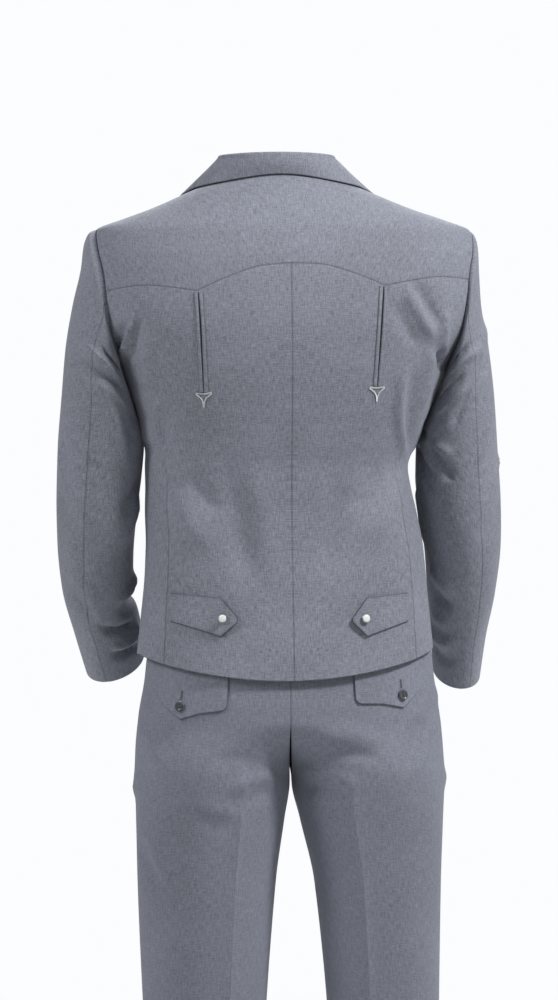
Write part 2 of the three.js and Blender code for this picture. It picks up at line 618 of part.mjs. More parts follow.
function sleevePart(side, upper) {
  const seam = SLEEVE_CURVES[side].seam;
  const start = 0.0012; // clears the body at the armhole
  const surface = (u, v) => {
    const spare = 2 + 3 * Math.max(0, 1 - v / HEAD_SHARE); // the head's seam slants
    const margin = (spare * HALF_GAP) / (SLEEVE_CURVES[side].deep(v) * DEGREE);
    const from = (upper ? UNDER_SEAM - 360 : seam(v)) + margin;
    const to = (upper ? seam(v) : UNDER_SEAM) - margin;
    const point = sleevePoint(side, lerp(from, to, u), v);
    point.x += side * 1.6 * LAID * Math.max(0, 1 - v / 0.08); // clears the facets of the armhole
    return point;
  };
  // Both halves take their normals from the whole sleeve, and at the armhole from the torso,
  // but for the underarm, where body and sleeve hang down from the seam back to back.
  const normal = (u, v) => {
    const from = upper ? UNDER_SEAM - 360 : seam(v);
    const round = lerp(from, upper ? seam(v) : UNDER_SEAM, u);
    if (v > start) return sleeveNormal(side, round, v);
    const loop = armholeLoop(side, round);
    const under = ease((-Math.cos(round * DEGREE) - 0.1) / 0.6);
    return torsoNormal(loop.degrees, loop.z).lerp(sleeveNormal(side, round, v), under).normalize();
  };
  const us = steps(upper ? 7 : 6);
  const vs = [start, 0.035, 0.08, 0.14, ...steps(13, 0.2)];
  return wall({ surface, us, vs, inner: -CLOTH, outer: 0, normal });
}

// ---- what lies on the back -----------------------------------------------------------------
// A flat piece on the back between two heights, by distance from the centre back.
const onBack = (x, z) => torso(backAngle(x, z), z);

function welt(side, outerLip) {
  const { topX, bottomX, topZ, bottomZ, lip } = SLIT;
  const near = GAP * 1.5;
  const surface = (u, v) => {
    const slit = lerp(topX, bottomX, v);
    const x = side * (slit + (outerLip ? 1 : -1) * lerp(near, lip, u));
    return onBack(x, lerp(topZ, bottomZ, v) + LEAN * x);
  };
  const outer = GAP + 1.2;
  return wall({ surface, us: steps(1), vs: steps(8), inner: GAP, outer, core: torsoCore });
}

function arrowhead(side) {
  const { wide, tall, thick } = ARROWHEAD;
  const surface = (u, v) => {
    const half = 0.5 + (wide / 2 - 0.5) * (1 - v) ** 1.6;
    const x = side * SLIT.bottomX + half * u;
    return onBack(x, SLIT.bottomZ - GAP - tall * v + LEAN * x);
  };
  const vs = [0, 0.12, 0.3, 0.5, 0.75, 1];
  return wall({ surface, us: steps(2, -1), vs, inner: GAP, outer: GAP + thick, core: torsoCore });
}

// How far along a tab a place is, from its outer end to its point, and that place's own x.
const tabShare = (x) => (TAB[0].x - x) / (TAB[0].x - TAB[2].x);
const tabX = (side, x) => side * x + lerp(TAB_SHIFT.outer, TAB_SHIFT.inner, tabShare(x));
const tabLift = (share) => 2.5 * ease((share - 0.55) / 0.4); // its point stands away from the back

function tab(side) {
  const top = lines(TAB, "x", "top");
  const low = lines(TAB, "x", "low");
  const surface = (u, v) => {
    const x = lerp(TAB[0].x, TAB[2].x, u);
    const point = onBack(tabX(side, x), lerp(top(x), low(x), v));
    point.y -= tabLift(u);
    return point;
  };
  const shoulder = tabShare(TAB[1].x);
  const us = [...steps(4, 0, shoulder), (1 + shoulder) / 2, 1];
  return wall({ surface, us, vs: steps(3), inner: LAID, outer: LAID + CLOTH, core: torsoCore });
}

function snap(side) {
  const degrees = backAngle(tabX(side, TAB_SNAP.x), TAB_SNAP.z);
  const base = torso(degrees, TAB_SNAP.z);
  base.y -= tabLift(tabShare(TAB_SNAP.x));
  return disc(SNAP, base, torsoNormal(degrees, TAB_SNAP.z), CLOTH + LAID + 2 * GAP);
}

// ---- trousers ------------------------------------------------------------------------------
const hipsAt = curves(HIPS, "z");
const legsAt = curves(LEGS, "z");
const HIP_TURN = 1.6; // crowds the hip's columns toward the centre, as the legs need

// A point of the trousers, from the centre (t = 0) round one side to the side seam (t = 1),
// behind or before. Below the seat each half turns into its own leg.
function trouser(side, behind, t, z) {
  const n = hipsAt.n(z);
  const angle = 90 * DEGREE * t ** HIP_TURN;
  const { across, deep } = section(angle, n);
  const sway = TROUSER_X * Math.sin(angle) ** 2;
  const facing = behind ? -1 : 1;
  const hipDepth = behind ? hipsAt.back(z) : hipsAt.front(z);
  const hip = new THREE.Vector3(side * hipsAt.a(z) * across + sway, facing * hipDepth * deep, z);
  const divided = ease((SEAT_Z - z) / (SEAT_Z - CROTCH_Z));
  if (divided === 0) return hip;
  const inner = side > 0 ? legsAt.ri(z) : legsAt.li(z);
  const outer = side > 0 ? legsAt.ro(z) : legsAt.lo(z);
  const x = lerp(inner, outer, (1 - Math.cos(Math.PI * t)) / 2);
  const legDepth = behind ? legsAt.back(z) : legsAt.front(z);
  const pressed = CREASE.height * Math.max(0, 1 - Math.abs(t - CREASE.at) / CREASE.width);
  const y = legsAt.y(z) + facing * (legDepth * Math.sin(Math.PI * t) + pressed);
  return hip.lerp(new THREE.Vector3(x, y, z), divided);
}

function trouserCore(side) {
  return (point) => {
    const middle = side > 0 ? (legsAt.ri(point.z) + legsAt.ro(point.z)) / 2 : null;
    const left = (legsAt.li(point.z) + legsAt.lo(point.z)) / 2;
    return new THREE.Vector3(middle ?? left, 0, point.z);
  };
}

function trouserPanel(side, behind) {
  const top = WAISTBAND.top - WAISTBAND.height - GAP;
  const rows = [0, 0.11, 0.2];
  const surface = (t, v) => {
    const heights = [top, SEAT_Z, CROTCH_Z, TROUSER_HEM_Z];
    const k = v < rows[1] ? 0 : v < rows[2] ? 1 : 2;
    const z = lerp(heights[k], heights[k + 1], (v - rows[k]) / ((rows[k + 1] ?? 1) - rows[k]));
    const point = trouser(side, behind, t, z);
    point.x += side * HALF_GAP * (1 - t);
    const split = z < CROTCH_Z + 1 ? 1 : ease((t - 0.9) / 0.1);
    point.y += (behind ? -1 : 1) * 1.7 * HALF_GAP * split;
    return point;
  };
  const { at, width } = CREASE;
  const us = behind
    ? [0, 0.12, 0.24, at - width, at, at + width, 0.62, 0.75, 0.88, 1]
    : [0, 0.16, at - width, at, at + width, 0.65, 0.82, 1];
  const vs = [0, 0.035, 0.07, 0.11, 0.14, 0.17, 0.2, 0.25, 0.32, 0.42, 0.56, 0.72, 0.87, 1];
  const core = trouserCore(side);
  return wall({ surface, us, vs, inner: -TROUSER_CLOTH, outer: 0, core });
}

const hipCore = (point) => new THREE.Vector3(0, 0, point.z);

function waistband() {
  const surface = (u, v) => {
    const z = WAISTBAND.top - WAISTBAND.height * v;
    const behind = Math.abs(u) < 0.5;
    const t = behind ? Math.abs(u) * 2 : (1 - Math.abs(u)) * 2;
    const point = trouser(Math.sign(u) || 1, behind, t ** (1 / HIP_TURN), z);
    if (t === 0 && !behind) point.x += Math.sign(u) * HALF_GAP;
    return point;
  };
  return wall({ surface, us: steps(28, -1), vs: [0, 1], inner: -TROUSER_CLOTH, outer: 0, core: hipCore });
}

// The fly closes the trousers behind the seam of the two fronts.
function fly() {
  const wide = 18;
  const low = SEAT_Z + 8;
  const surface = (u, v) => {
    const z = lerp(WAISTBAND.top - WAISTBAND.height - 2, low, v);
    const share = ((wide * Math.abs(u)) / hipsAt.a(z) / 90 / DEGREE) ** (1 / HIP_TURN);
    return trouser(Math.sign(u) || 1, false, share, z);
  };
  const outer = -TROUSER_CLOTH - LAID;
  return wall({
    surface, us: steps(4, -1), vs: steps(3), inner: outer - TROUSER_CLOTH, outer, core: hipCore,
  });
}

function flap(side) {
  const top = lines(FLAP, "t", "top");
  const low = lines(FLAP, "t", "low");
  const surface = (t, v) => {
    const z = lerp(top(t), low(t), v);
    const level = trouser(side, true, t, z);
    return trouser(side, true, t, z + FLAP_LEAN * level.x);
  };
  const us = FLAP.map((row) => row.t);
  const inner = LAID + GAP;
  const outer = inner + TROUSER_CLOTH;
  return wall({ surface, us, vs: steps(3), inner, outer, core: trouserCore(side) });
}

function flapButton(side) {
  const level = trouser(side, true, FLAP_BUTTON.t, FLAP_BUTTON.z);
  const z = FLAP_BUTTON.z + FLAP_LEAN * level.x;
  const base = trouser(side, true, FLAP_BUTTON.t, z);
  const along = trouser(side, true, FLAP_BUTTON.t + 0.01, z).sub(base);
  const up = trouser(side, true, FLAP_BUTTON.t, z + 1).sub(base);
  const normal = along.cross(up).normalize();
  if (normal.y > 0) normal.negate();
  return disc(POCKET_BUTTON, base, normal, TROUSER_CLOTH + LAID + 2 * GAP);
}

// ---- the suit ------------------------------------------------------------------------------
const JACKET_LOOK = { color: 0x7f8792, roughness: 0.85 };
const TROUSER_LOOK = { color: 0x7a828d, roughness: 0.85 };
const SILVER_THREAD = { color: 0xc9cdd0, roughness: 0.45 };
const PEARL = { color: 0xece9e2, roughness: 0.2 };
const DARK_BUTTON = { color: 0x3d4249, roughness: 0.4 };

const suit = new THREE.Group();

function add(name, geometry, look) {
  const mesh = new THREE.Mesh(geometry, new THREE.MeshStandardMaterial({ ...look, metalness: 0 }));
  mesh.name = name;
  suit.add(mesh);
}

add("back_yoke", backYoke(), JACKET_LOOK);
add("collar", collar(), JACKET_LOOK);
for (const [hand, side] of [["left", -1], ["right", 1]]) {
  add(`back_${hand}`, backPanel(side), JACKET_LOOK);
  add(`side_${hand}`, sidePanel(side), JACKET_LOOK);
  add(`front_${hand}`, frontPanel(side), JACKET_LOOK);
  add(`lapel_${hand}`, lapel(side), JACKET_LOOK);
  add(`top_sleeve_${hand}`, sleevePart(side, true), JACKET_LOOK);
  add(`under_sleeve_${hand}`, sleevePart(side, false), JACKET_LOOK);
  add(`welt_${hand}_inner`, welt(side, false), JACKET_LOOK);
  add(`welt_${hand}_outer`, welt(side, true), JACKET_LOOK);
  add(`arrowhead_${hand}`, arrowhead(side), SILVER_THREAD);
  add(`tab_${hand}`, tab(side), JACKET_LOOK);
  add(`snap_${hand}`, snap(side), PEARL);
  add(`trouser_back_${hand}`, trouserPanel(side, true), TROUSER_LOOK);
  add(`trouser_front_${hand}`, trouserPanel(side, false), TROUSER_LOOK);
  add(`pocket_flap_${hand}`, flap(side), TROUSER_LOOK);
  add(`pocket_button_${hand}`, flapButton(side), DARK_BUTTON);
}
add("front_button_upper", frontButton(-1, FRONT_BUTTON.z[0]), DARK_BUTTON);
add("front_button_lower", frontButton(-1, FRONT_BUTTON.z[1]), DARK_BUTTON);
add("waistband", waistband(), TROUSER_LOOK);
add("fly", fly(), TROUSER_LOOK);

export default suit;
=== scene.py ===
"""Western suit, worn: every sewn piece a thin shell of heathered suiting on its solid's form.

The cloth's forms are worked out in millimetres, as in the part's source, and become metres
where a mesh is made. +Z is up, +X the wearer's right and -Y the wearer's back.
"""
import math
from types import SimpleNamespace as Sizes

import bpy
import numpy as np
from mathutils import Matrix, Vector


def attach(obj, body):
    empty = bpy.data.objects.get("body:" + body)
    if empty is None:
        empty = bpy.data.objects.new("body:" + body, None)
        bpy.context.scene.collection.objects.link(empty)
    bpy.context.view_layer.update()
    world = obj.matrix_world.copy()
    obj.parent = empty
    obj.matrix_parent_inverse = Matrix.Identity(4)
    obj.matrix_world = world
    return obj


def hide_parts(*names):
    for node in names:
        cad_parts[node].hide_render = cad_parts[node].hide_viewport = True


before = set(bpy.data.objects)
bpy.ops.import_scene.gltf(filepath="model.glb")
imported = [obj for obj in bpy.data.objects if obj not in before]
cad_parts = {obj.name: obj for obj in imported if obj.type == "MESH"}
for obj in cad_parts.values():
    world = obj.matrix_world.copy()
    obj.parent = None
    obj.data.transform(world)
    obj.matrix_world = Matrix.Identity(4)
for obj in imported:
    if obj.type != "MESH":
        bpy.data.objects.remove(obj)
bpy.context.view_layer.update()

# ---- driving sizes, in millimetres ----
MM = 0.001
SHELL = 1.5  # the jacket cloth's visible thickness
TROUSER_SHELL = 1.2
SEAM_GAP = 0.03  # what each edge gives up at a seam
SHOULDER_Z = -50
ARMHOLE = Sizes(z=-132, height=82, sweep=28)  # its middle, and half its width in degrees
SIDE_TOP_Z = -181  # where the side panels begin
SIDE_TOP_SHARE = (SIDE_TOP_Z - ARMHOLE.z) / ARMHOLE.height
SIDE_SWEEP = ARMHOLE.sweep * math.sqrt(1 - SIDE_TOP_SHARE ** 2)
ARMHOLE_X = 221
LEAN = 0.035  # rise of the yoke and slits toward the wearer's right, per mm
HEM = Sizes(side=-561, back=-597, front=-593, lean=4)
FRONT_LAP = 18  # how far each front goes past the centre
LEFT_FRONT_LIFT = 3.3
COLLAR_ENDS = 126  # degrees from the centre back
LAPEL = Sizes(top=-34, bottom=-318, right_bottom=-264, wide=84, narrow=7)
WAISTBAND = Sizes(top=-480, height=40)
CROTCH_Z = -719
SEAT_Z = -648
TROUSER_HEM_Z = -1529
TROUSER_X = 8
CREASE_AT = 0.4  # share of the way from the centre seam to the side seam
CREASE = Sizes(rise=5.6, wide=0.035, top_z=-690, fade=70)
HIP_TURN = 1.6  # how points round the hips crowd toward the centre, as a power
UNDER_SEAM = 248  # a sleeve's hidden seam, in degrees round it
HEAD_SHARE = 0.2  # share of a sleeve in which its head leaves the armhole's shape


def read_table(text):
    """The names of a written table's columns, and its rows of numbers."""
    names, *rows = text.strip().splitlines()
    return names.split(), [[float(cell) for cell in row.split()] for row in rows]


class Table:
    """Smooth curves, without overshoot, through a table's columns, by its first column."""

    def __init__(self, text):
        names, rows = read_table(text)
        self.key, *columns = np.array(sorted(rows)).T
        for name, column in zip(names[1:], columns):
            setattr(self, name, self._curve(column))

    def _curve(self, ys):
        xs = self.key
        rise = np.diff(ys) / np.diff(xs)
        slope = np.empty_like(ys)
        slope[0], slope[-1] = rise[0], rise[-1]
        product = rise[:-1] * rise[1:]
        total = np.where(product > 0, rise[:-1] + rise[1:], 1)
        slope[1:-1] = np.where(product > 0, 2 * product / total, 0)

        def at(value):
            x = np.clip(value, xs[0], xs[-1])
            i = np.clip(np.searchsorted(xs, x, side="right") - 1, 0, len(xs) - 2)
            h = xs[i + 1] - xs[i]
            t = (x - xs[i]) / h
            rest = 1 - t
            bend = t * rest * h * (slope[i] * rest - slope[i + 1] * t)
            middle = t * t * (3 - 2 * t)
            return ys[i] * (1 - middle) + ys[i + 1] * middle + bend

        return at


# ---- tables ----
# The torso: half width, depth behind and before, sideways shift, power of the section.
TORSO = Table("""
z a back front x n
26 59 57 34 -7 2
10 77 66 52 -6 2.1
0 101 74 62 -5 2.15
-25 160 90 78 -2 2.25
-38 197 97 86 0 2.35
-50 227 103 92 0 2.4
-62 233 107 97 0 2.4
-85 238 114 106 0 2.4
-120 239 120 116 0 2.4
-166 229 124 124 0 2.4
-214 199 122 127 0 2.4
-260 182 116 126 0 2.4
-310 165 106 121 -3 2.4
-338 160 100 118 -8 2.4
-362 161.5 98 117 -6 2.4
-390 165 96 116 -3 2.4
-437 169 98 116 2 2.4
-480 172 103 117 3 2.4
-520 176 107 118 3 2.4
-560 180 111 120 3 2.4
-600 185 113.5 122 3 2.4
""")

# The yoke seam on one side, as share of the way to the armhole: two arcs that meet in a point.
YOKE_POINT = 0.44
YOKE_INSIDE = Table("""
u z
0 -93
0.13 -95.5
0.27 -106
0.44 -123.5
""")
YOKE_OUTSIDE = Table("""
u z
0.44 -123.5
0.56 -118.5
0.72 -114.5
0.88 -116.5
1 -119
""")

# Angles of the side-back seam and of the seam between side and front.
SIDE_SEAMS = Table(f"""
z back front
{SIDE_TOP_Z} {90 - SIDE_SWEEP} {90 + SIDE_SWEEP}
-230 63 108
-300 58.5 106
-376 54.5 105
-470 55 105
-600 52.5 105
""")
FRONT_EDGE = Table(f"""
z x
10 64
-100 40
-330 {-FRONT_LAP}
-520 {-FRONT_LAP}
-560 -8
-600 24
""")

# Sleeve rings: outer and inner edge seen from behind, centre's way forward, half depth, tilt,
# and the back seam's angle.
SLEEVES = {
    -1: Table("""
v ox oz ix iz y deep tilt seam
0 227 -50 199 -214 0 58 0 97
0.02 236 -54 199 -217 0 60 0 95
0.05 242 -68 198 -222 1 63 0 92
0.12 246 -98 194 -234 3 67.5 0 84
0.2 255.5 -140 187 -250 7 71 0 74
0.3 264 -194 177.5 -276 14 72 1 68
0.4 268.5 -252 168 -308 20 70 3 68
0.5 273 -318 171 -350 26 69 7 68
0.6 274 -376 176.5 -396 33 66 15 68
0.7 272 -430 179 -440 49 62 25 68
0.8 265 -484 177 -486 76 58 33 68
0.9 247.5 -540 166 -527 111 55 32 68
1 230.5 -590 159 -567 144 52 24 68
"""),
    1: Table("""
v ox oz ix iz y deep tilt seam
0 227 -50 199 -214 0 58 0 97
0.02 232 -54 199 -217 0 60 0 95
0.05 236 -67 198 -222 1 63 0 92
0.12 239 -98 194 -234 3 67.5 0 84
0.2 242.5 -140 187 -250 7 71 0 74
0.3 253 -194 177 -276 14 72 1 67
0.4 260.5 -252 165.5 -308 20 70 3 67
0.5 265.5 -318 165 -350 26 69 7 67
0.6 270 -376 171 -396 33 66 15 67
0.7 272 -430 178.5 -440 50 62 25 66
0.8 268.5 -484 184.5 -488 77 58 33 66
0.9 261 -539 192 -540 112 54 32 66
1 257 -592 199 -589 146 52 24 66
"""),
}

HIPS = Table(f"""
z a back front n
-480 156 86 88 2.3
-520 162 93 94 2.3
-560 172.4 101 99 2.3
-600 177 106 100 2.3
-640 184 110 101 2.25
-690 188 110 100 2.2
{CROTCH_Z} 188 106 98 2.1
""")
LEGS = Table(f"""
z li lo ri ro back front y
-640 3 -178 11 192 110 101 0
{CROTCH_Z} 8 -181 10.5 197 104 94 0
-766 1.5 -179 21 195.5 99 91 1
-844 -9 -177 39 193 91 86 2
-1080 -25 -166 60 190 72 72 6
-1300 -34 -157 66 184 68 70 3
{TROUSER_HEM_Z} -40 -155 68 180 71 71 0
""")

CENTRE_BACK = Sizes(top_z=-130, hem_z=-600, hem_x=4)
# Half-belt tab, from the side-back seam to its point: place across, upper and lower edge.
# Straight lines join its corners, and the flap's.
TAB = [(143.5, -491, -525), (88, -497, -543.5), (68.5, -522.5, -525)]
TAB_SHIFT = Sizes(outer=1.5, inner=5.5)  # both tabs sit a little to the wearer's right
TAB_OVER, TAB_THICK = 2.6, 2.0  # how high its face stands
TAB_END = Sizes(lift=2.5, start=0.55, run=0.4)
TAB_SNAP = Sizes(x=85.6, z=-521.5, over=5.0)
SLIT = Sizes(top_x=112, bottom_x=104.5, top_z=-125, bottom_z=-245, lip=5.2)
ARROWHEAD = Sizes(wide=20.5, tall=19)
# Back-pocket flap: share of the way from centre back to side, upper and lower edge.
FLAP = [
    (0.445, -571, -624), (0.461, -571, -629), (0.56, -571, -631),
    (0.648, -570, -637), (0.765, -568, -613), (0.778, -567, -606),
]
FLAP_LEAN = 0.05
FLAP_OVER, FLAP_THICK = 2.5, 1.3
FLAP_BUTTON = Sizes(t=0.648, z=-621.5, radius=6.5, tall=3.2)
FRONT_BUTTON = Sizes(radius=9, tall=3.6, z=(-338, -432))


# ---- small helpers ----
def lerp(a, b, t):
    return a + (b - a) * t


def ease(value):
    """0 below 0, 1 above 1, and smooth between them."""
    t = np.clip(value, 0, 1)
    return t * t * (3 - 2 * t)


def unit(vectors):
    return vectors / np.maximum(np.linalg.norm(vectors, axis=-1, keepdims=True), 1e-9)


def stack(x, y, z):
    return np.stack(np.broadcast_arrays(x, y, z), axis=-1).astype(float)


def section(angle, n):
    """A point of a squared-off ellipse of half sizes 1, at an angle from the centre back."""
    s, c = np.sin(angle), np.cos(angle)
    reach = (np.abs(s) ** n + np.abs(c) ** n) ** (-1 / n)
    return s * reach, c * reach


def angle_across(share, n):
    """The angle, in degrees, at which that section is a share of its half width across."""
    across = np.clip(share, -0.9999, 0.9999)
    return np.degrees(np.arctan2(across, (1 - np.abs(across) ** n) ** (1 / n)))


def corners(rows, at, column):
    """Straight lines through one column of rows whose first column is the key."""
    order = sorted(rows)
    return np.interp(at, [row[0] for row in order], [row[column] for row in order])


# ---- folds ----
# A fold is a soft ridge (+) or trough (-) from one place to another, in the two coordinates of
# its piece: its bow sideways, half width, rise, and how soon it fades in and out at its ends.
# Both fades are left out of a row where each is FADE of its length.
FADE = 0.3


class Folds:
    def __init__(self, text):
        self.rows = read_table(text)[1]

    def __call__(self, x, z):
        total = np.zeros(np.broadcast(x, z).shape)
        for x0, z0, x1, z1, bow, wide, rise, *fades in self.rows:
            fade_in, fade_out = fades or (FADE, FADE)
            dx, dz = x1 - x0, z1 - z0
            length = math.hypot(dx, dz)
            t = ((x - x0) * dx + (z - z0) * dz) / length ** 2
            aside = ((x - x0) * dz - (z - z0) * dx) / length
            inside = np.clip(t, 0, 1)
            aside = aside - bow * 4 * inside * (1 - inside)
            ends = ease(t / fade_in) * ease((1 - t) / fade_out)
            over = np.abs(t - inside) * length
            reach = (aside / wide) ** 2 + (over / wide) ** 2
            total = total + rise * ends * np.exp(-reach)
        return total


# On the jacket's back, by distance from the centre back and height.
BACK_FOLDS = Folds("""
x0 z0 x1 z1 bow wide rise fade_in fade_out
-185 -156 -200 -214 2 4.5 7.5 0.3 0.2
-196 -162 -206 -200 2 4.5 -6
-177 -152 -192 -212 3 6 -6.5 0.3 0.2
-172 -176 -158 -262 5 9 5.1
-152 -250 -160 -318 3 6 5.1
-164 -268 -146 -330 -4 8 -5.1
136 -112 180 -190 3 6 5.8 0.3 0.25
152 -110 190 -172 4 8 -5.1
124 -134 160 -200 3 9 -4.3
190 -146 188 -200 0 5 5.8 0.3 0.2
184 -196 189 -222 0 4 -8.7 0.2 0.2
173 -190 160 -274 -5 7 5.1
144 -206 145 -328 11 6 5.8 0.3 0.2
158 -214 156 -330 8 8 -5.8 0.3 0.2
-72 -318 -44 -500 6 18 -6 0.35 0.4
-40 -330 -22 -500 0 15 3.4 0.35 0.4
66 -322 30 -490 -5 18 -6 0.35 0.4
-142 -352 -92 -446 6 15 5.2 0.35 0.4
-120 -336 -80 -402 4 11 -4 0.35 0.4
140 -346 84 -438 -6 15 5.2 0.35 0.4
112 -330 70 -396 -4 11 -4 0.35 0.4
""")


# How far the jacket's sides stand out, pressed by the sleeves, by height; these folds reach
# this share of its depth to the back and front.
SIDE_FOLD_REACH = 0.4
SIDE_FOLDS = {
    -1: Table("""
z rise
60 0
-262 0
-286 2
-301 4
-313 1
-322 0
-640 0
"""),
    1: Table("""
z rise
60 0
-284 0
-300 2
-314 2
-324 0
-640 0
"""),
}


# ---- the jacket's torso ----
def torso(degrees, z, lift=0.0):
    """A point of the jacket's cloth at an angle from the centre back, moved out by `lift`."""
    degrees, z = np.broadcast_arrays(np.asarray(degrees, float), np.asarray(z, float))
    n = TORSO.n(z)
    across, deep = section(np.radians(degrees), n)
    a = TORSO.a(z)
    depth = np.where(deep > 0, TORSO.back(z), TORSO.front(z))
    x = TORSO.x(z) + a * across
    outward = unit(stack(
        np.sign(across) * np.abs(across) ** (n - 1) / a,
        -np.sign(deep) * np.abs(deep) ** (n - 1) / depth,
        0,
    ))
    rise = np.where(deep > 0, BACK_FOLDS(x, z), FRONT_FOLDS(x, z)) * np.minimum(1, 2 * np.abs(deep))
    beside = np.where(across < 0, SIDE_FOLDS[-1].rise(z), SIDE_FOLDS[1].rise(z))
    rise = rise + beside * np.exp(-((deep / SIDE_FOLD_REACH) ** 2))
    return stack(x, -depth * deep, z) + outward * (rise + lift)[..., None]


def torso_normal(degrees, z):
    across = torso(degrees + 0.3, z) - torso(degrees - 0.3, z)
    up = torso(degrees, z + 0.6) - torso(degrees, z - 0.6)
    return unit(np.cross(across, up))


def back_angle(x, z):
    return angle_across((x - TORSO.x(z)) / TORSO.a(z), TORSO.n(z))


def front_angle(x, z):
    return 180 - back_angle(x, z)


def armhole_sweep(z):
    share = (z - ARMHOLE.z) / ARMHOLE.height
    return ARMHOLE.sweep * np.sqrt(np.maximum(0, 1 - share ** 2))


def seam_share(z):
    """Half a seam's gap, as degrees at a height of the torso."""
    return np.degrees(SEAM_GAP / TORSO.a(z))


def panel_edge(z, facing):
    """The angle of the edge of a back (facing -1) or a front (1) at its armhole and side seam."""
    depth, seam = (TORSO.back, SIDE_SEAMS.back) if facing < 0 else (TORSO.front, SIDE_SEAMS.front)
    shoulder = 90 + facing * seam_share(z) * TORSO.a(z) / depth(z)
    lower = seam(z) + facing * seam_share(z)
    armhole = np.where(z > SIDE_TOP_Z, 90 + facing * armhole_sweep(z), lower)
    return np.where(z >= SHOULDER_Z, shoulder, armhole)


NECK_Z = Sizes(back=23, side=8)


def neck_height(degrees):
    return lerp(NECK_Z.side, NECK_Z.back, np.maximum(0, np.cos(np.radians(degrees))) ** 2)


def hem_height(degrees):
    turn = np.cos(np.radians(degrees))
    level = HEM.side + (np.where(turn > 0, HEM.back, HEM.front) - HEM.side) * turn ** 2
    return level + HEM.lean * np.sin(np.radians(degrees))


def yoke_seam(share):
    across = np.abs(share)
    height = np.where(across <= YOKE_POINT, YOKE_INSIDE.z(across), YOKE_OUTSIDE.z(across))
    return height + LEAN * ARMHOLE_X * share


FRONT_FOLDS = Folds("""
x0 z0 x1 z1 bow wide rise fade_in fade_out
-206 -150 -150 -330 0 15 5 0.25 0.35
206 -150 150 -335 0 15 5 0.25 0.35
-150 -300 -30 -350 6 16 3.5
150 -290 30 -345 -6 16 3.5
-140 -385 -40 -350 0 18 -2.5
140 -390 40 -350 0 18 -2.5
""")


# ---- sleeves and trousers ----
# Sleeve folds, by distance round the sleeve from the middle of its back (+ toward the body)
# and distance down from the shoulder.
SLEEVE_LENGTH = 560
ROUND_MM = 1.15  # distance round a sleeve for one degree
SLEEVE_FOLDS = {
    -1: Folds("""
x0 z0 x1 z1 bow wide rise fade_in fade_out
-8 120 40 104 -2 4.5 -7.5 0.25 0.15
-58 150 46 120 -3 7 5.6
-74 170 58 140 -4 5 -6.3 0.25 0.3
-82 176 -34 208 0 4.5 3.5 0.3 0.4
-84 262 -54 298 0 5 -4
-94 276 -62 314 0 5 4
-30 281 2 277 0 4 -2.2 0.3 0.4
-40 190 50 160 -4 9 4.9
66 168 30 238 3 9 -5.6
4 180 44 290 4 9 4.2
84 270 30 330 4 12 -5.6
92 300 30 372 4 12 5.6
104 424 22 436 3 6 6 0.15 0.35
206 474 26 448 2 9 -15 0.1 0.25
72 484 -14 468 3 5.5 -9.5 0.2 0.3
84 494 0 503 2 4.5 9 0.2 0.25
76 526 -6 510 0 6.5 -8 0.25 0.3
-60 410 6 434 4 10 4.9 0.3 0.4
-52 440 0 462 4 9 -4.2 0.3 0.4
-20 300 -60 400 0 16 3.5
-90 330 -20 356 0 12 -4.2
180 300 120 350 4 10 -5
180 335 110 345 0 9 4.5
185 370 120 345 -4 11 -5
"""),
    1: Folds("""
x0 z0 x1 z1 bow wide rise fade_in fade_out
88 50 -26 132 2 6 -7.7 0.15 0.25
78 74 -44 158 3 6 6.3 0.2 0.1
-38 158 -104 140 -2 11 4.5 0.1 0.5
-30 178 -84 180 0 6 -4.5 0.3 0.5
-46 152 -36 184 0 4 3.5
-68 208 -24 282 -6 4.5 4.9 0.25 0.3
-92 280 -42 316 0 4.5 4
-8 162 66 140 3 8 -5.6 0.3 0.2
-22 190 66 176 4 9 4.9
-16 186 18 226 0 10 -4.2
90 198 44 240 2 5.5 -7.5 0.15 0.3
78 214 12 260 2 5.5 6.5 0.2 0.2
64 222 12 290 2 5 -7 0.3 0.15
106 230 36 290 2 8 -7.5 0.2 0.3
78 236 27 300 2 5 3.2
90 260 44 302 2 4.5 -5 0.3 0.2
90 284 84 400 3 5 4.9 0.2 0.4
80 402 12 420 4 9 4.5 0.2 0.4
70 430 22 444 2 8 -6.5 0.25 0.3
84 466 20 464 2 8 4 0.3 0.4
100 496 0 484 5 8 5 0.2 0.4
84 516 0 510 4 9 -4.5 0.2 0.4
-90 340 -10 362 0 12 -3.5
180 300 120 350 4 10 -5
180 335 110 345 0 9 4.5
185 370 120 345 -4 11 -5
"""),
}


def armhole_loop(side, turn):
    degrees = 90 - ARMHOLE.sweep * np.sin(np.radians(turn))
    z = ARMHOLE.z + ARMHOLE.height * np.cos(np.radians(turn))
    return torso(side * degrees, z)


def sleeve_ring(side, turn, v):
    row = SLEEVES[side]
    cos, sin = np.cos(np.radians(turn)), np.sin(np.radians(turn))
    tilt = np.radians(row.tilt(v))
    x = (row.ox(v) * (1 + cos) + row.ix(v) * (1 - cos)) / 2
    z = (row.oz(v) * (1 + cos) + row.iz(v) * (1 - cos)) / 2
    deep = row.deep(v) * sin
    return stack(side * x, row.y(v) - deep * np.cos(tilt), z - deep * np.sin(tilt))


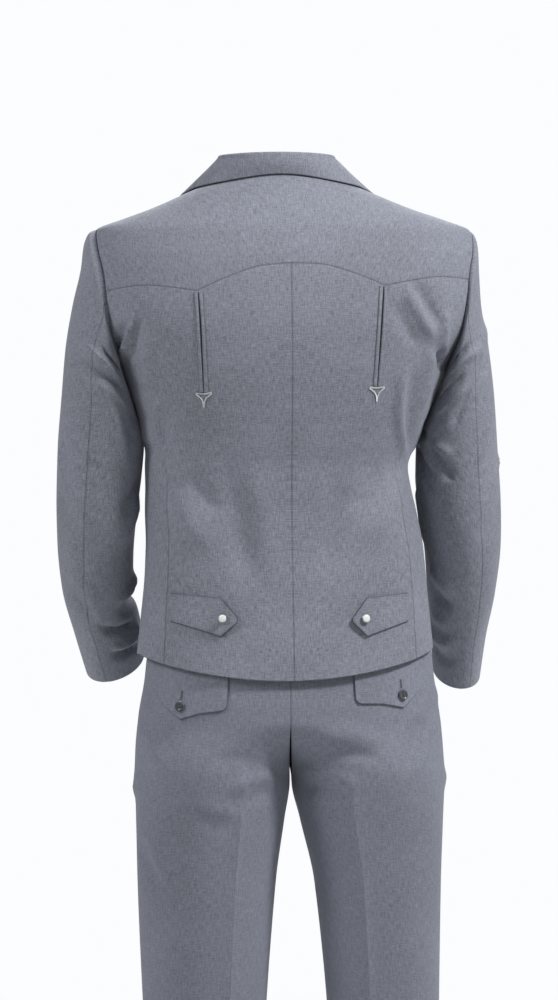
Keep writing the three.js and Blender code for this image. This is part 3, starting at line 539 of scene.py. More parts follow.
def sleeve(side, turn, v):
    """A point of a sleeve: `turn` degrees from its top round by way of the back, share v down."""
    turn, v = np.broadcast_arrays(np.asarray(turn, float), np.asarray(v, float))
    point = sleeve_ring(side, turn, v)
    middle = (sleeve_ring(side, 0, v) + sleeve_ring(side, 180, v)) / 2
    fade = np.maximum(0, 1 - v / HEAD_SHARE)[..., None] ** 2
    miss = armhole_loop(side, turn) - sleeve_ring(side, turn, np.zeros_like(v))
    around = (turn + 180) % 360 - 180
    down = v * SLEEVE_LENGTH
    rise = SLEEVE_FOLDS[side]((around - 90) * ROUND_MM, down)
    rise = rise + SLEEVE_FOLDS[side]((around + 270) * ROUND_MM, down)
    return point + miss * fade + unit(point - middle) * (rise * ease(v / 0.08))[..., None]


# Trouser folds, by place across (+ the wearer's right) and height, behind and before.
SEAT_FOLDS = Folds("""
x0 z0 x1 z1 bow wide rise fade_in fade_out
26 -668 112 -668 -6 12 3.5
26 -690 114 -692 -6 8 -4.5 0.25 0.3
-34 -694 -98 -697 5 8 -2
12 -706 92 -730 -6 9 4 0.2 0.4
16 -724 84 -754 -6 9 -3.5 0.2 0.4
-12 -710 -84 -738 6 9 4 0.2 0.4
-16 -728 -76 -762 6 9 -3.5 0.2 0.4
-118 -742 -58 -756 3 10 2
-116 -760 -64 -776 3 10 -1.5
184 -636 156 -726 4 10 4.5 0.2 0.4
170 -640 140 -716 4 10 -3.5 0.2 0.4
-178 -646 -150 -724 -4 10 4 0.2 0.4
-178 -784 -150 -856 4 8 -4.5 0.2 0.4
-164 -790 -136 -850 4 8 3 0.2 0.4
-110 -1020 -50 -1075 6 18 3.5
140 -1030 85 -1080 -6 18 3.5
-120 -1440 -70 -1470 4 14 3.5
150 -1430 100 -1468 -4 14 3.5
""")
TROUSER_FRONT_FOLDS = Folds("""
x0 z0 x1 z1 bow wide rise fade_in fade_out
20 -690 120 -655 6 12 3 0.2 0.4
-10 -690 -105 -655 -6 12 3 0.2 0.4
30 -712 130 -700 5 13 -2.6 0.2 0.4
-12 -712 -120 -700 -5 13 -2.6 0.2 0.4
-130 -1075 -60 -1060 5 16 3.5
150 -1080 80 -1062 -5 16 3.5
-120 -1470 -65 -1485 4 13 4
155 -1465 95 -1483 -4 13 4
""")


# How far the side seams stand out where hand and pocket pull at them, by height, and the share
# of a panel that these folds reach over.
POCKET_REACH = 0.09
SIDE_POCKET_FOLDS = {
    -1: Table("""
z rise
-480 0
-700 0
-722 1.5
-728 2.5
-744 -0.5
-770 0
-1600 0
"""),
    1: Table("""
z rise
-480 0
-600 0
-614 1.5
-630 -1
-700 0.5
-716 3
-736 0
-1600 0
"""),
}


def trouser(side, behind, t, z, lift=0.0):
    """A point of the trousers, from the centre (t 0) to the side seam (t 1), behind or before."""
    t, z = np.broadcast_arrays(np.asarray(t, float), np.asarray(z, float))
    n = HIPS.n(z)
    angle = np.radians(90) * t ** HIP_TURN
    across, deep = section(angle, n)
    facing = -1 if behind else 1
    depth = HIPS.back(z) if behind else HIPS.front(z)
    a = HIPS.a(z)
    hip = stack(side * a * across + TROUSER_X * np.sin(angle) ** 2, facing * depth * deep, z)
    hip_out = unit(stack(side * across ** (n - 1) / a, facing * deep ** (n - 1) / depth, 0))
    divided = ease((SEAT_Z - z) / (SEAT_Z - CROTCH_Z))
    inner, outer = (LEGS.ri(z), LEGS.ro(z)) if side > 0 else (LEGS.li(z), LEGS.lo(z))
    leg_depth = LEGS.back(z) if behind else LEGS.front(z)
    half = np.abs(outer - inner) / 2
    leg = stack(
        lerp(inner, outer, (1 - np.cos(np.pi * t)) / 2),
        LEGS.y(z) + facing * leg_depth * np.sin(np.pi * t),
        z,
    )
    leg_out = stack(-side * np.cos(np.pi * t) / half, facing * np.sin(np.pi * t) / leg_depth, 0)
    share = divided[..., None]
    point = lerp(hip, leg, share)
    outward = unit(lerp(hip_out, unit(leg_out), share))
    # the pressed crease stands up from below the seat to the hem
    crease = CREASE.rise * np.exp(-np.abs(t - CREASE_AT) / CREASE.wide)
    crease = crease * ease((CREASE.top_z - z) / CREASE.fade)
    folds = SEAT_FOLDS if behind else TROUSER_FRONT_FOLDS
    side_folds = SIDE_POCKET_FOLDS[side].rise(z) * np.exp(-(((1 - t) / POCKET_REACH) ** 2))
    rise = crease + folds(point[..., 0], z) * ease(t / 0.05) * ease((1 - t) / 0.08) + side_folds
    return point + outward * (rise + lift)[..., None]


# ---- meshes ----
CLOTH_EDGE, TRIM_EDGE = 50, 38  # degrees from which an edge is shaded sharp
EDGE_ROWS = (0, 0.5, 1.1, 1.9, 3.0, 4.6)  # distances from an edge, where its turn needs rows


def spaced(length, step, low=0.0, high=1.0, ends=(True, True)):
    """Shares from `low` to `high` over a length: even steps, and close rows at each end that is
    an edge of the cloth."""
    near = [d for d in EDGE_ROWS if d < length / 4]
    first = near if ends[0] else [0]
    last = near if ends[1] else [0]
    count = max(2, round((length - first[-1] - last[-1]) / step))
    middle = np.linspace(first[-1], length - last[-1], count + 1)
    places = np.concatenate([first[:-1], middle, length - np.array(last[:-1])[::-1]])
    return lerp(low, high, places / length)


def joined(*parts):
    return np.unique(np.round(np.concatenate(parts), 6))


def runs(places, lengths, steps):
    """Shares over several lengths between places, each with its own step."""
    last = len(lengths) - 1
    return joined(*(
        spaced(length, step, places[k], places[k + 1], (k == 0, k == last))
        for k, (length, step) in enumerate(zip(lengths, steps))
    ))


def grid_normals(points):
    along = np.gradient(points, axis=1)
    down = np.gradient(points, axis=0)
    return unit(np.cross(along, down))


def distances(points, axis):
    """How far each point of a grid lies from its first row or column, along the cloth."""
    gaps = np.linalg.norm(np.diff(points, axis=axis), axis=-1)
    start = np.zeros_like(gaps.take([0], axis=axis))
    return np.concatenate([start, np.cumsum(gaps, axis=axis)], axis=axis)


SEAM_ROLL = Sizes(depth=0.34, wide=1.1)
EDGE_BAND = 2.0  # an edge is stitched this far in
EDGE_ROUND, EDGE_DROP = 1.1, 0.7  # how far in, and how deep, an edge turns over
STITCH_DIP = Sizes(depth=0.25, wide=0.9)


def edge_relief(distance, kind):
    """How far the outer face lies from its panel near an edge of one kind."""
    if kind == "S":
        return -SEAM_ROLL.depth * np.exp(-((distance / SEAM_ROLL.wide) ** 2))
    if kind == "N":
        return np.zeros_like(distance)
    turn = np.clip(1 - distance / EDGE_ROUND, 0, 1)
    relief = -EDGE_DROP * (1 - np.sqrt(1 - turn ** 2))
    if kind == "T":
        dip = np.exp(-(((distance - EDGE_BAND) / STITCH_DIP.wide) ** 2))
        relief = relief - STITCH_DIP.depth * dip
    return relief


# Painted shade at each kind of edge, how much darker and over what width: the shadow down in seams
# and under edges that lie on cloth is painted into the colour.
EDGE_SHADE = {"S": (0.38, 0.8), "T": (0.85, 0.7), "F": (0.7, 0.6), "H": (0.3, 0.6),
              "N": (0, 1)}


def seam_shade(distance, kind):
    """Painted shade down in a seam, or at an edge that lies on cloth: the share of the cloth's
    colour that is kept.
    """
    depth, wide = EDGE_SHADE[kind]
    return 1 - depth * np.exp(-((distance / wide) ** 2))


PRESSED_SEAM = Sizes(top=-335, low=-385, least=0.15)


def upper_seam(z):
    """How much of a side-back seam shows: little of it between the armhole and the waist."""
    low, least = PRESSED_SEAM.low, PRESSED_SEAM.least
    share = ease((PRESSED_SEAM.top - z) / (PRESSED_SEAM.top - low))
    return np.where(z > SIDE_TOP_Z + 3, 1, lerp(least, 1, share))


def shell_mesh(name, outer, inner, uv, shade):
    """A closed wall between two grids of points in millimetres, with its cloth coordinates."""
    rows, columns = outer.shape[:2]
    index = np.arange(rows * columns).reshape(rows, columns)
    back = index + rows * columns
    quads = [
        np.stack([index[:-1, :-1], index[1:, :-1], index[1:, 1:], index[:-1, 1:]], -1),
        np.stack([back[:-1, :-1], back[:-1, 1:], back[1:, 1:], back[1:, :-1]], -1),
        np.stack([index[:-1, 0], back[:-1, 0], back[1:, 0], index[1:, 0]], -1),
        np.stack([index[:-1, -1], index[1:, -1], back[1:, -1], back[:-1, -1]], -1),
        np.stack([index[0, :-1], index[0, 1:], back[0, 1:], back[0, :-1]], -1),
        np.stack([index[-1, :-1], back[-1, :-1], back[-1, 1:], index[-1, 1:]], -1),
    ]
    faces = np.concatenate([quad.reshape(-1, 4) for quad in quads])
    points = np.concatenate([outer.reshape(-1, 3), inner.reshape(-1, 3)]) * MM
    a, b, c = (points[faces[:, k]] for k in (0, 1, 2))
    d = points[faces[:, 3]]
    volume = sum(np.einsum("ij,ij->i", a, np.cross(*two)).sum() for two in ((b, c), (c, d)))
    if volume < 0:
        faces = faces[:, ::-1]
    mesh = bpy.data.meshes.new(name)
    mesh.from_pydata(points.tolist(), [], faces.tolist())
    layer = mesh.uv_layers.new(name="cloth")
    flat = np.concatenate([uv.reshape(-1, 2)] * 2) * MM
    layer.data.foreach_set("uv", flat[faces.reshape(-1)].astype(np.float32).ravel())
    # the painted shade of seams and edges, kept on both walls for the material
    depth = mesh.attributes.new("shade", "FLOAT", "POINT")
    depth.data.foreach_set("value", np.concatenate([shade.ravel()] * 2).astype(np.float32))
    return smooth(mesh, CLOTH_EDGE)


def linked(name, data):
    """A new object in the scene."""
    thing = bpy.data.objects.new(name, data)
    bpy.context.scene.collection.objects.link(thing)
    return thing


def settled(thing):
    """The mesh that an object's modifiers make; the object itself is removed."""
    bpy.context.view_layer.update()
    seen = thing.evaluated_get(bpy.context.evaluated_depsgraph_get())
    mesh = bpy.data.meshes.new_from_object(seen)
    bpy.data.objects.remove(thing)
    return mesh


def smooth(mesh, degrees):
    """Shades a mesh smooth, apart from edges sharper than an angle."""
    mesh.shade_smooth()
    mesh.set_sharp_from_angle(angle=math.radians(degrees))
    mesh.update()
    return mesh


def add(name, mesh, material, slot, *nodes):
    piece = linked(name, mesh)
    if material is not None:
        mesh.materials.clear()
        mesh.materials.append(material)
    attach(piece, "root")
    if nodes:
        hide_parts(*nodes)
    return piece


def cloth(name, surface, us, vs, edges, core=(0, 0), look=None, thick=SHELL, lift=0.0,
          grain=0.0, nodes=None, shaded=None, pressed=None):
    """A sewn piece: a thin shell on a surface of two shares. `edges` names its left, right,
    upper and lower edge as seam (S), hem (H), flap's edge (F), stitched edge (T) or plain (N),
    and `pressed` is the side, left (0) or right (1), whose seam hardly shows in its upper part.
    The cloth faces away from `core`: a point, or the upright line through two coordinates.
    """
    material, slot = look or JACKET
    u, v = np.meshgrid(us, vs)
    points = surface(u, v)
    normals = grid_normals(points)
    middle = tuple(size // 2 for size in u.shape)
    away = points[middle] - [*core, *points[middle][len(core):]]
    if np.dot(normals[middle], away) < 0:
        normals = -normals
    across, down = distances(points, 1), distances(points, 0)
    sides = (across, across[:, -1:] - across)
    show = [upper_seam(points[..., 2]) if pressed == k else 1 for k in (0, 1)]
    relief = sum(show[k] * edge_relief(sides[k], edges[k]) for k in (0, 1))
    relief = relief + edge_relief(down, edges[2]) + edge_relief(down[-1:] - down, edges[3])
    start = across[:, [int(np.abs(us - grain).argmin())]]
    uv = np.stack([across - start, -down + points[0, :, 2][None, :]], -1)
    # painted shade: darker down in the seams and at the edges, times what `shaded` paints
    shade = np.prod([1 - show[k] * (1 - seam_shade(sides[k], edges[k])) for k in (0, 1)], axis=0)
    shade = shade * seam_shade(down, edges[2]) * seam_shade(down[-1:] - down, edges[3])
    if shaded is not None:
        shade = shade * shaded(u, v)
    outer = points + normals * (lift + relief)[..., None]
    mesh = shell_mesh(name, outer, points + normals * (lift - thick), uv, shade)
    piece = add(f"{name}_shell", mesh, material, slot, *(nodes or [name]))
    return piece


# ---- materials ----
class Nodes:
    """Builds one node tree: `put` and `get` add a node with its properties and input values."""

    def __init__(self, tree):
        self.tree = tree
        self.column = 0

    def put(self, kind, values=(), **properties):
        node = self.tree.nodes.new(kind)
        self.column += 1
        node.location = (180 * self.column, -60 * (self.column % 5))
        for key, value in properties.items():
            setattr(node, key, value)
        self.feed(node.inputs, values)
        return node

    def feed(self, inputs, values):
        for socket, value in dict(values).items():
            if isinstance(value, bpy.types.NodeSocket):
                self.tree.links.new(value, inputs[socket])
            else:
                inputs[socket].default_value = value

    def get(self, kind, values=(), **properties):
        """The first output of a new node."""
        return self.put(kind, values, **properties).outputs[0]

    def math(self, operation, *values):
        return self.get("ShaderNodeMath", enumerate(values), operation=operation)

    def noise(self, vector, scale, detail, stretch=(1, 1, 1)):
        """Noise of one cell per `scale` metres, stretched along the axes, from 0 to 1."""
        moved = self.get("ShaderNodeMapping", {"Vector": vector, "Scale": stretch})
        values = {"Vector": moved, "Scale": 1 / scale, "Detail": detail, "Roughness": 0.55}
        return self.get("ShaderNodeTexNoise", values)

    def ramp(self, value, low, high, to_low=0.0, to_high=1.0):
        values = enumerate((value, low, high, to_low, to_high))
        return self.get("ShaderNodeMapRange", values, clamp=True)

    def mix(self, share, a, b, blend="MIX"):
        values = {0: share, 6: a, 7: b}
        node = self.put("ShaderNodeMix", values, data_type="RGBA", blend_type=blend)
        return node.outputs[2]

    def shaded(self, color, share):
        """A colour, multiplied by one number."""
        grey = self.get("ShaderNodeCombineXYZ", {0: share, 1: share, 2: share})
        return self.mix(1.0, color, grey, "MULTIPLY")


def node_group(name, inputs, outputs, kind="Shader"):
    """An empty node group with named sockets, and its input and output sockets."""
    tree = bpy.data.node_groups.new(name, f"{kind}NodeTree")
    for direction, sockets in (("INPUT", inputs), ("OUTPUT", outputs)):
        for label, of_kind, *default in sockets:
            socket_type = f"NodeSocket{of_kind}"
            socket = tree.interface.new_socket(label, in_out=direction, socket_type=socket_type)
            if default:
                socket.default_value = default[0]
    nodes = Nodes(tree)
    return nodes, nodes.put("NodeGroupInput").outputs, nodes.put("NodeGroupOutput").inputs


def suiting_group():
    """End-and-end suiting: dark warp and pale weft, with slubs, and the height of the weave."""
    inputs = [
        ("Cloth", "Vector"), ("Base", "Color", (0.2, 0.22, 0.26, 1)), ("Pitch", "Float", 0.00055),
        ("Heather", "Float", 0.3), ("Mottle", "Float", 0.1),
    ]
    outputs = [("Color", "Color"), ("Height", "Float"), ("Roughness", "Float")]
    n, given, out = node_group("suiting_weave", inputs, outputs)
    cloth_at = given["Cloth"]
    # yarns of the warp run down the cloth, and those of the weft across it
    warp = n.noise(cloth_at, 0.0013, 2, (1, 0.13, 1))
    weft = n.noise(cloth_at, 0.0013, 2, (0.15, 1, 1))
    fine = n.noise(cloth_at, 0.0016, 2)
    slub = n.noise(cloth_at, 0.0042, 3, (1, 0.45, 1))
    yarns = 0.0
    for yarn, share in ((warp, 0.42), (weft, 0.36), (fine, 0.22)):
        yarns = n.math("MULTIPLY_ADD", yarn, share, yarns)
    heather = n.ramp(yarns, 0.37, 0.63, -1.0, 1.0)
    heather = n.math("ADD", heather, n.ramp(slub, 0.3, 0.7, -0.13, 0.13))
    broad = n.ramp(n.noise(cloth_at, 0.16, 3), 0.3, 0.7, -1.0, 1.0)
    gain = n.math("MULTIPLY_ADD", heather, given["Heather"], 1.0)
    gain = n.math("MULTIPLY_ADD", broad, given["Mottle"], gain)
    # plain weave: each thread rises over every other one
    place = n.put("ShaderNodeSeparateXYZ", {0: cloth_at}).outputs
    turns = [n.math("DIVIDE", place[k], given["Pitch"]) for k in (0, 1)]
    waves = [n.math("SINE", n.math("MULTIPLY", turn, math.pi)) for turn in turns]
    over = n.math("MULTIPLY_ADD", n.math("MULTIPLY", *waves), 0.5, 0.5)
    n.feed(out, {
        "Color": n.shaded(given["Base"], gain),
        "Height": n.math("MULTIPLY_ADD", heather, 0.35, over),
        "Roughness": n.ramp(yarns, 0.3, 0.7, 0.82, 0.68),
    })
    return n.tree


def new_material(name):
    """A material, its nodes and its shader's inputs."""
    material = bpy.data.materials.new(name)
    material.use_nodes = True
    tree = material.node_tree
    return material, Nodes(tree), tree.nodes["Principled BSDF"].inputs


def cloth_material(name, base, heather):
    material, n, shader = new_material(name)
    at = n.get("ShaderNodeUVMap", uv_map="cloth")
    values = {"Cloth": at, "Base": (*base, 1), "Heather": heather}
    weave = n.put("ShaderNodeGroup", values, node_tree=SUITING).outputs
    # painted shade: the shade attribute makes the colour darker down in its seams and at its edges
    shade = n.put("ShaderNodeAttribute", attribute_name="shade").outputs["Fac"]
    nap = n.noise(at, 0.004, 4)
    height = n.math("MULTIPLY_ADD", nap, 0.6, weave["Height"])
    bump = n.get("ShaderNodeBump", {"Strength": 0.35, "Distance": 0.00018, "Height": height})
    n.feed(shader, {
        "Base Color": n.shaded(weave["Color"], shade), "Roughness": weave["Roughness"],
        "Normal": bump, "Sheen Weight": 0.22, "Sheen Roughness": 0.45,
        "Sheen Tint": (0.86, 0.9, 1, 1), "Specular IOR Level": 0.3,
    })
    return material


def trim_group():
    """Thread, pearl, metal and horn alike: streaks and clouds over a base, and their height."""
    inputs = [
        ("Place", "Vector"), ("Base", "Color", (0.5, 0.5, 0.5, 1)),
        ("Second", "Color", (0.6, 0.6, 0.6, 1)), ("Cell", "Float", 0.001),
    ]
    outputs = [("Color", "Color"), ("Height", "Float")]
    n, given, out = node_group("trim_clouds", inputs, outputs)
    shrink = n.math("DIVIDE", 1.0, given["Cell"])
    values = {"Vector": given["Place"], "Scale": shrink, "Detail": 3.0, "Distortion": 0.4}
    cloud = n.get("ShaderNodeTexNoise", values)
    color = n.mix(n.ramp(cloud, 0.3, 0.7), given["Base"], given["Second"])
    n.feed(out, {"Color": color, "Height": cloud})
    return n.tree


def trim_material(name, base, second, cell, stretch=(1, 1, 1), bump=0.1, metal=0.0, rough=0.4,
                  coat=0.0, sheen=0.0):
    material, n, shader = new_material(name)
    place = n.put("ShaderNodeTexCoord").outputs["Object"]
    place = n.get("ShaderNodeMapping", {"Vector": place, "Scale": stretch})
    values = {"Place": place, "Base": (*base, 1), "Second": (*second, 1), "Cell": cell}
    clouds = n.put("ShaderNodeGroup", values, node_tree=TRIM).outputs
    height = {"Strength": bump, "Distance": 0.0002, "Height": clouds["Height"]}
    n.feed(shader, {
        "Base Color": clouds["Color"], "Normal": n.get("ShaderNodeBump", height),
        "Metallic": metal, "Roughness": rough, "Coat Weight": coat, "Coat Roughness": 0.08,
        "Sheen Weight": sheen,
    })
    return material


SUITING = suiting_group()
TRIM = trim_group()
JACKET_CLOTH = cloth_material("jacket_suiting", (0.219, 0.231, 0.275), 0.36)
TROUSER_CLOTH = cloth_material("trouser_suiting", (0.203, 0.215, 0.262), 0.28)
SEWING_THREAD = trim_material("sewing_thread", (0.15, 0.165, 0.2), (0.24, 0.26, 0.3), 0.0008,
                              rough=0.6, sheen=0.3)
HORN_THREAD = trim_material("button_thread", (0.09, 0.095, 0.11), (0.16, 0.17, 0.19), 0.0006,
                            rough=0.65, sheen=0.2)
SILVER = trim_material("silver_embroidery", (0.5, 0.52, 0.54), (0.78, 0.79, 0.8), 0.0012,
                       stretch=(1, 1, 0.12), bump=0.5, metal=0.35, rough=0.38, sheen=0.3)
PEARL = trim_material("pearl", (0.8, 0.8, 0.79), (0.93, 0.93, 0.93), 0.004, rough=0.16, coat=0.7)
METAL = trim_material("snap_rim", (0.45, 0.46, 0.47), (0.6, 0.6, 0.6), 0.002, metal=1.0,
                      rough=0.28)
HORN = trim_material("dark_horn", (0.035, 0.038, 0.043), (0.1, 0.105, 0.115), 0.004, rough=0.3,
                     coat=0.25)


# ---- the jacket's panels ----
HEM_SEAMS = Sizes(back=53, front=105)  # degrees at which the side seams reach the hem
JACKET = (JACKET_CLOTH, "jacket_cloth")
TROUSERS = (TROUSER_CLOTH, "trouser_cloth")
HANDS = {"left": -1, "right": 1}


def stepped(share, places, heights):
    """Heights by share, straight between the named places."""
    low = heights[0] + 0 * share
    for start, end, a, b in zip(places, places[1:], heights, heights[1:]):
        low = np.where(share >= start, lerp(a, b, (share - start) / (end - start)), low)
    return low


def back_yoke():
    def surface(u, v):
        low = yoke_seam(u) + SEAM_GAP
        heights = [neck_height(u * 90), lerp(-32, SHOULDER_Z, u ** 2), low]
        z = stepped(v, [0, 0.4, 1], heights)
        return torso(u * panel_edge(z, -1), z)

    point = YOKE_POINT
    us = runs([-1, -point, point, 1], [125, 198, 125], [3.4, 3.4, 3.4])
    vs = runs([0, 0.4, 1], [62, 88], [3.4, 3.4])
    cloth("back_yoke", surface, us, vs, "SSSS")


def centre_back(z):
    """The centre-back seam's angle: it runs straight, whichever way the waist leans."""
    down = (CENTRE_BACK.top_z - z) / (CENTRE_BACK.top_z - CENTRE_BACK.hem_z)
    return back_angle(CENTRE_BACK.hem_x * np.clip(down, 0, 1), z)


def back_panel(hand, side):
    def surface(u, v):
        hem = hem_height(side * u * HEM_SEAMS.back)
        heights = [yoke_seam(side * u) - SEAM_GAP, SIDE_TOP_Z + 0 * u, hem]
        z = stepped(v, [0, 0.12, 1], heights)
        middle = centre_back(z) + side * seam_share(z)
        return torso(lerp(middle, side * panel_edge(z, -1), u), z)

    us = runs([0, YOKE_POINT, 1], [80, 100], [3.4, 3.4])
    vs = runs([0, 0.12, 1], [70, 400], [3.4, 3.6])
    cloth(f"back_{hand}", surface, us, vs, "SSSH", pressed=1)


def side_panel(hand, side):
    def angle(w, z):
        return lerp(SIDE_SEAMS.back(z) + seam_share(z), SIDE_SEAMS.front(z) - seam_share(z), w)

    def top(w):
        # found in steps, since the angle depends on the height, and the height on the angle
        z = SIDE_TOP_Z + 0 * w
        for _ in range(12):
            share = np.clip((90 - angle(w, z)) / ARMHOLE.sweep, -1, 1)
            z = lerp(z, ARMHOLE.z - ARMHOLE.height * np.sqrt(1 - share ** 2), 0.7)
        return z

    def surface(w, v):
        z = lerp(top(w), hem_height(side * angle(w, HEM.side)), v)
        return torso(side * angle(w, z), z)

    us, vs = spaced(110, 4), spaced(360, 4)
    cloth(f"side_{hand}", surface, us, vs, "SSSH", pressed=0)


def front_point(side, degrees, z, lift=0.0):
    """A point of a front: the left one is carried over the right one near the centre front."""
    point = torso(side * degrees, z, lift)
    if side < 0:
        point[..., 1] += LEFT_FRONT_LIFT * ease((95 + point[..., 0]) / 45)
    return point


def front_panel(hand, side):
    def surface(u, v):
        hem = hem_height(side * lerp(HEM_SEAMS.front, 180, u))
        heights = [NECK_Z.side + 0 * u, lerp(SHOULDER_Z, -42, u), SIDE_TOP_Z + 0 * u, hem]
        z = stepped(v, [0, 0.1, 0.34, 1], heights)
        return front_point(side, lerp(panel_edge(z, 1), front_angle(FRONT_EDGE.x(z), z), u), z)

    us = spaced(170, 6)
    vs = runs([0, 0.1, 0.34, 1], [60, 135, 400], [5, 6, 6])
    cloth(f"front_{hand}", surface, us, vs, "SHSH")


def lapel(hand, side):
    low = LAPEL.bottom if side < 0 else LAPEL.right_bottom

    def surface(u, v):
        z = lerp(LAPEL.top - 12 * u, low, v)
        down = np.clip((LAPEL.top - z) / (LAPEL.top - LAPEL.bottom), 0, 1)
        width = lerp(LAPEL.wide, LAPEL.narrow, down ** 1.3)
        edge = FRONT_EDGE.x(z) + 1
        # the right one goes under the left front
        start = edge if side < 0 else np.maximum(edge, 2.5 - FRONT_EDGE.x(z))
        return front_point(side, front_angle(lerp(start, edge + width, u), z), z)

    # it rolls over softly at its fold, and lies close at its edge
    us, vs = spaced(75, 3.5), spaced(280, 4.5)
    cloth(f"lapel_{hand}", surface, us, vs, "NTTH", lift=3.0, thick=1.6)


# ---- collar ----
COLLAR = Sizes(fold_back=42, fold_side=40, fold_front=20, roll=3.2, half_wide=68, x=-8,
               deep_back=63, deep_front=56)
BULGE = Sizes(back=2, side=1.5)  # how full the fall is, half way down
FALL = Sizes(back=15, front=-33, front_x=80, clear_back=1.9, clear_front=3)
STAND, ROLLED = 0.3, 0.55  # shares of the collar's section: stand, roll and fall


def collar_surface(u, v):
    degrees = u * COLLAR_ENDS
    angle = np.abs(degrees)
    side = np.where(degrees < 0, -1, 1)
    sin, cos = np.sin(np.radians(angle)), np.cos(np.radians(angle))
    ahead = np.clip((angle - 90) / (COLLAR_ENDS - 90), 0, 1)
    radial = stack(side * sin, -cos, 0)
    height = lerp(COLLAR.fold_back, COLLAR.fold_side, sin ** 2)
    height = lerp(height, COLLAR.fold_front, ahead ** 1.3)
    deep = np.where(cos > 0, COLLAR.deep_back, COLLAR.deep_front)
    eye_x = COLLAR.x + side * COLLAR.half_wide * sin
    eye = stack(eye_x, -deep * cos, height - COLLAR.roll)
    stand_low = torso(degrees, neck_height(angle) + SEAM_GAP) - radial
    fall_z = lerp(FALL.back * np.maximum(0, cos) ** 2, FALL.front, ahead)
    front_end = front_angle(FALL.front_x, FALL.front)
    fall_angle = side * lerp(np.minimum(angle, 90), front_end, ahead)
    clear = lerp(FALL.clear_back, FALL.clear_front, ahead)
    fall_low = torso(fall_angle, fall_z)
    fall_low = fall_low + torso_normal(fall_angle, fall_z) * clear[..., None]

    def roll(turn):
        turn = np.asarray(turn)[..., None]
        return eye + COLLAR.roll * ([0, 0, 1] * np.sin(turn) - radial * np.cos(turn))

    fall = np.clip((v - ROLLED) / (1 - ROLLED), 0, 1)
    full = lerp(BULGE.back, BULGE.side, sin ** 2)
    bulge = full * np.sin(np.pi * fall) * (1 - 0.4 * fall)
    share = np.clip(v / STAND, 0, 1)[..., None]
    over = np.pi * np.clip((v - STAND) / (ROLLED - STAND), 0, 1)
    rising = lerp(stand_low, roll(0 * v), share)
    falling = lerp(roll(np.pi + 0 * v), fall_low, fall[..., None]) + radial * bulge[..., None]
    part = v[..., None]
    return np.where(part < STAND, rising, np.where(part < ROLLED, roll(over), falling))


def collar():
    us = spaced(360, 3.2, -1, 1)
    vs = joined(
        spaced(26, 3, 0, STAND, (True, False)), np.linspace(STAND, ROLLED, 12),
        spaced(34, 2.4, ROLLED, 1, (False, True)),
    )
    cloth("collar", collar_surface, us, vs, "HHNH", (0, 0, -100), lift=SHELL / 2)


# ---- sleeves ----
SLEEVE_MIDDLE = Sizes(x=222, y=40)
CAP_STEP = Sizes(out=0.02, share=0.05)  # a sleeve's head is this little outside its armhole


def sleeve_part(hand, side, upper):
    row = SLEEVES[side]

    def surface(u, v):
        margin = np.degrees(SEAM_GAP / row.deep(v))
        start = (UNDER_SEAM - 360 if upper else row.seam(v)) + margin
        end = (row.seam(v) if upper else UNDER_SEAM) - margin
        point = sleeve(side, lerp(start, end, u), v)
        point[..., 0] += side * CAP_STEP.out * np.maximum(0, 1 - v / CAP_STEP.share)
        return point

    us = spaced(250 if upper else 165, 4.2)
    vs = spaced(SLEEVE_LENGTH, 4.2, 0.001, 1)
    name = f"{'top' if upper else 'under'}_sleeve_{hand}"
    middle = (side * SLEEVE_MIDDLE.x, SLEEVE_MIDDLE.y)
    cloth(name, surface, us, vs, "SSSH", middle, grain=0.5)


back_yoke()
collar()
for hand, side in HANDS.items():
    back_panel(hand, side)
    side_panel(hand, side)
    front_panel(hand, side)
    lapel(hand, side)
    sleeve_part(hand, side, True)
    sleeve_part(hand, side, False)


# ---- trousers ----
LEG_X = 95  # a leg's middle
LEG_GAP = 1.3 * SEAM_GAP  # what a leg's back and front give up where they meet
FINE_TO_Z = -860  # the legs are finest down to here
CREASE_ROWS = np.array([-0.045, -0.032, -0.02, -0.01, 0, 0.01, 0.02, 0.032, 0.045])


def trouser_panel(hand, side, behind):
    top = WAISTBAND.top - WAISTBAND.height - SEAM_GAP

    def surface(t, v):
        z = lerp(top, TROUSER_HEM_Z, v)
        point = trouser(side, behind, t, z)
        point[..., 0] += side * SEAM_GAP * (1 - t)
        split = np.where(z < CROTCH_Z + 1, 1, ease((t - 0.9) / 0.1))
        point[..., 1] += (-LEG_GAP if behind else LEG_GAP) * split
        return point

    step = 4.6 if behind else 7
    seen = (top - FINE_TO_Z) / (top - TROUSER_HEM_Z)
    ts = joined(
        spaced(100, step, 0, CREASE_AT - 0.06, (True, False)),
        CREASE_AT + CREASE_ROWS,
        spaced(140, step, CREASE_AT + 0.06, 1, (False, True)),
    )
    vs = runs([0, seen, 1], [340, 670], [step, step * 1.7])
    name = f"trouser_{'back' if behind else 'front'}_{hand}"
    cloth(name, surface, ts, vs, "SSSH", (side * LEG_X, 0), TROUSERS,
          thick=TROUSER_SHELL, grain=CREASE_AT)


def waistband():
    def surface(u, v):
        z = WAISTBAND.top - WAISTBAND.height * v
        behind = np.abs(u) < 0.5
        t = np.where(behind, np.abs(u) * 2, (1 - np.abs(u)) * 2) ** (1 / HIP_TURN)
        side = np.where(u < 0, -1, 1)
        right, left = (
            np.where(behind[..., None], trouser(hand, True, t, z), trouser(hand, False, t, z))
            for hand in (1, -1)
        )
        point = np.where(side[..., None] > 0, right, left)
        point[..., 0] += np.where((t == 0) & ~behind, side * 0.3, 0)
        return point

    us, vs = spaced(900, 7, -1, 1), spaced(40, 5)
    cloth("waistband", surface, us, vs, "TTTS", look=TROUSERS, thick=TROUSER_SHELL)


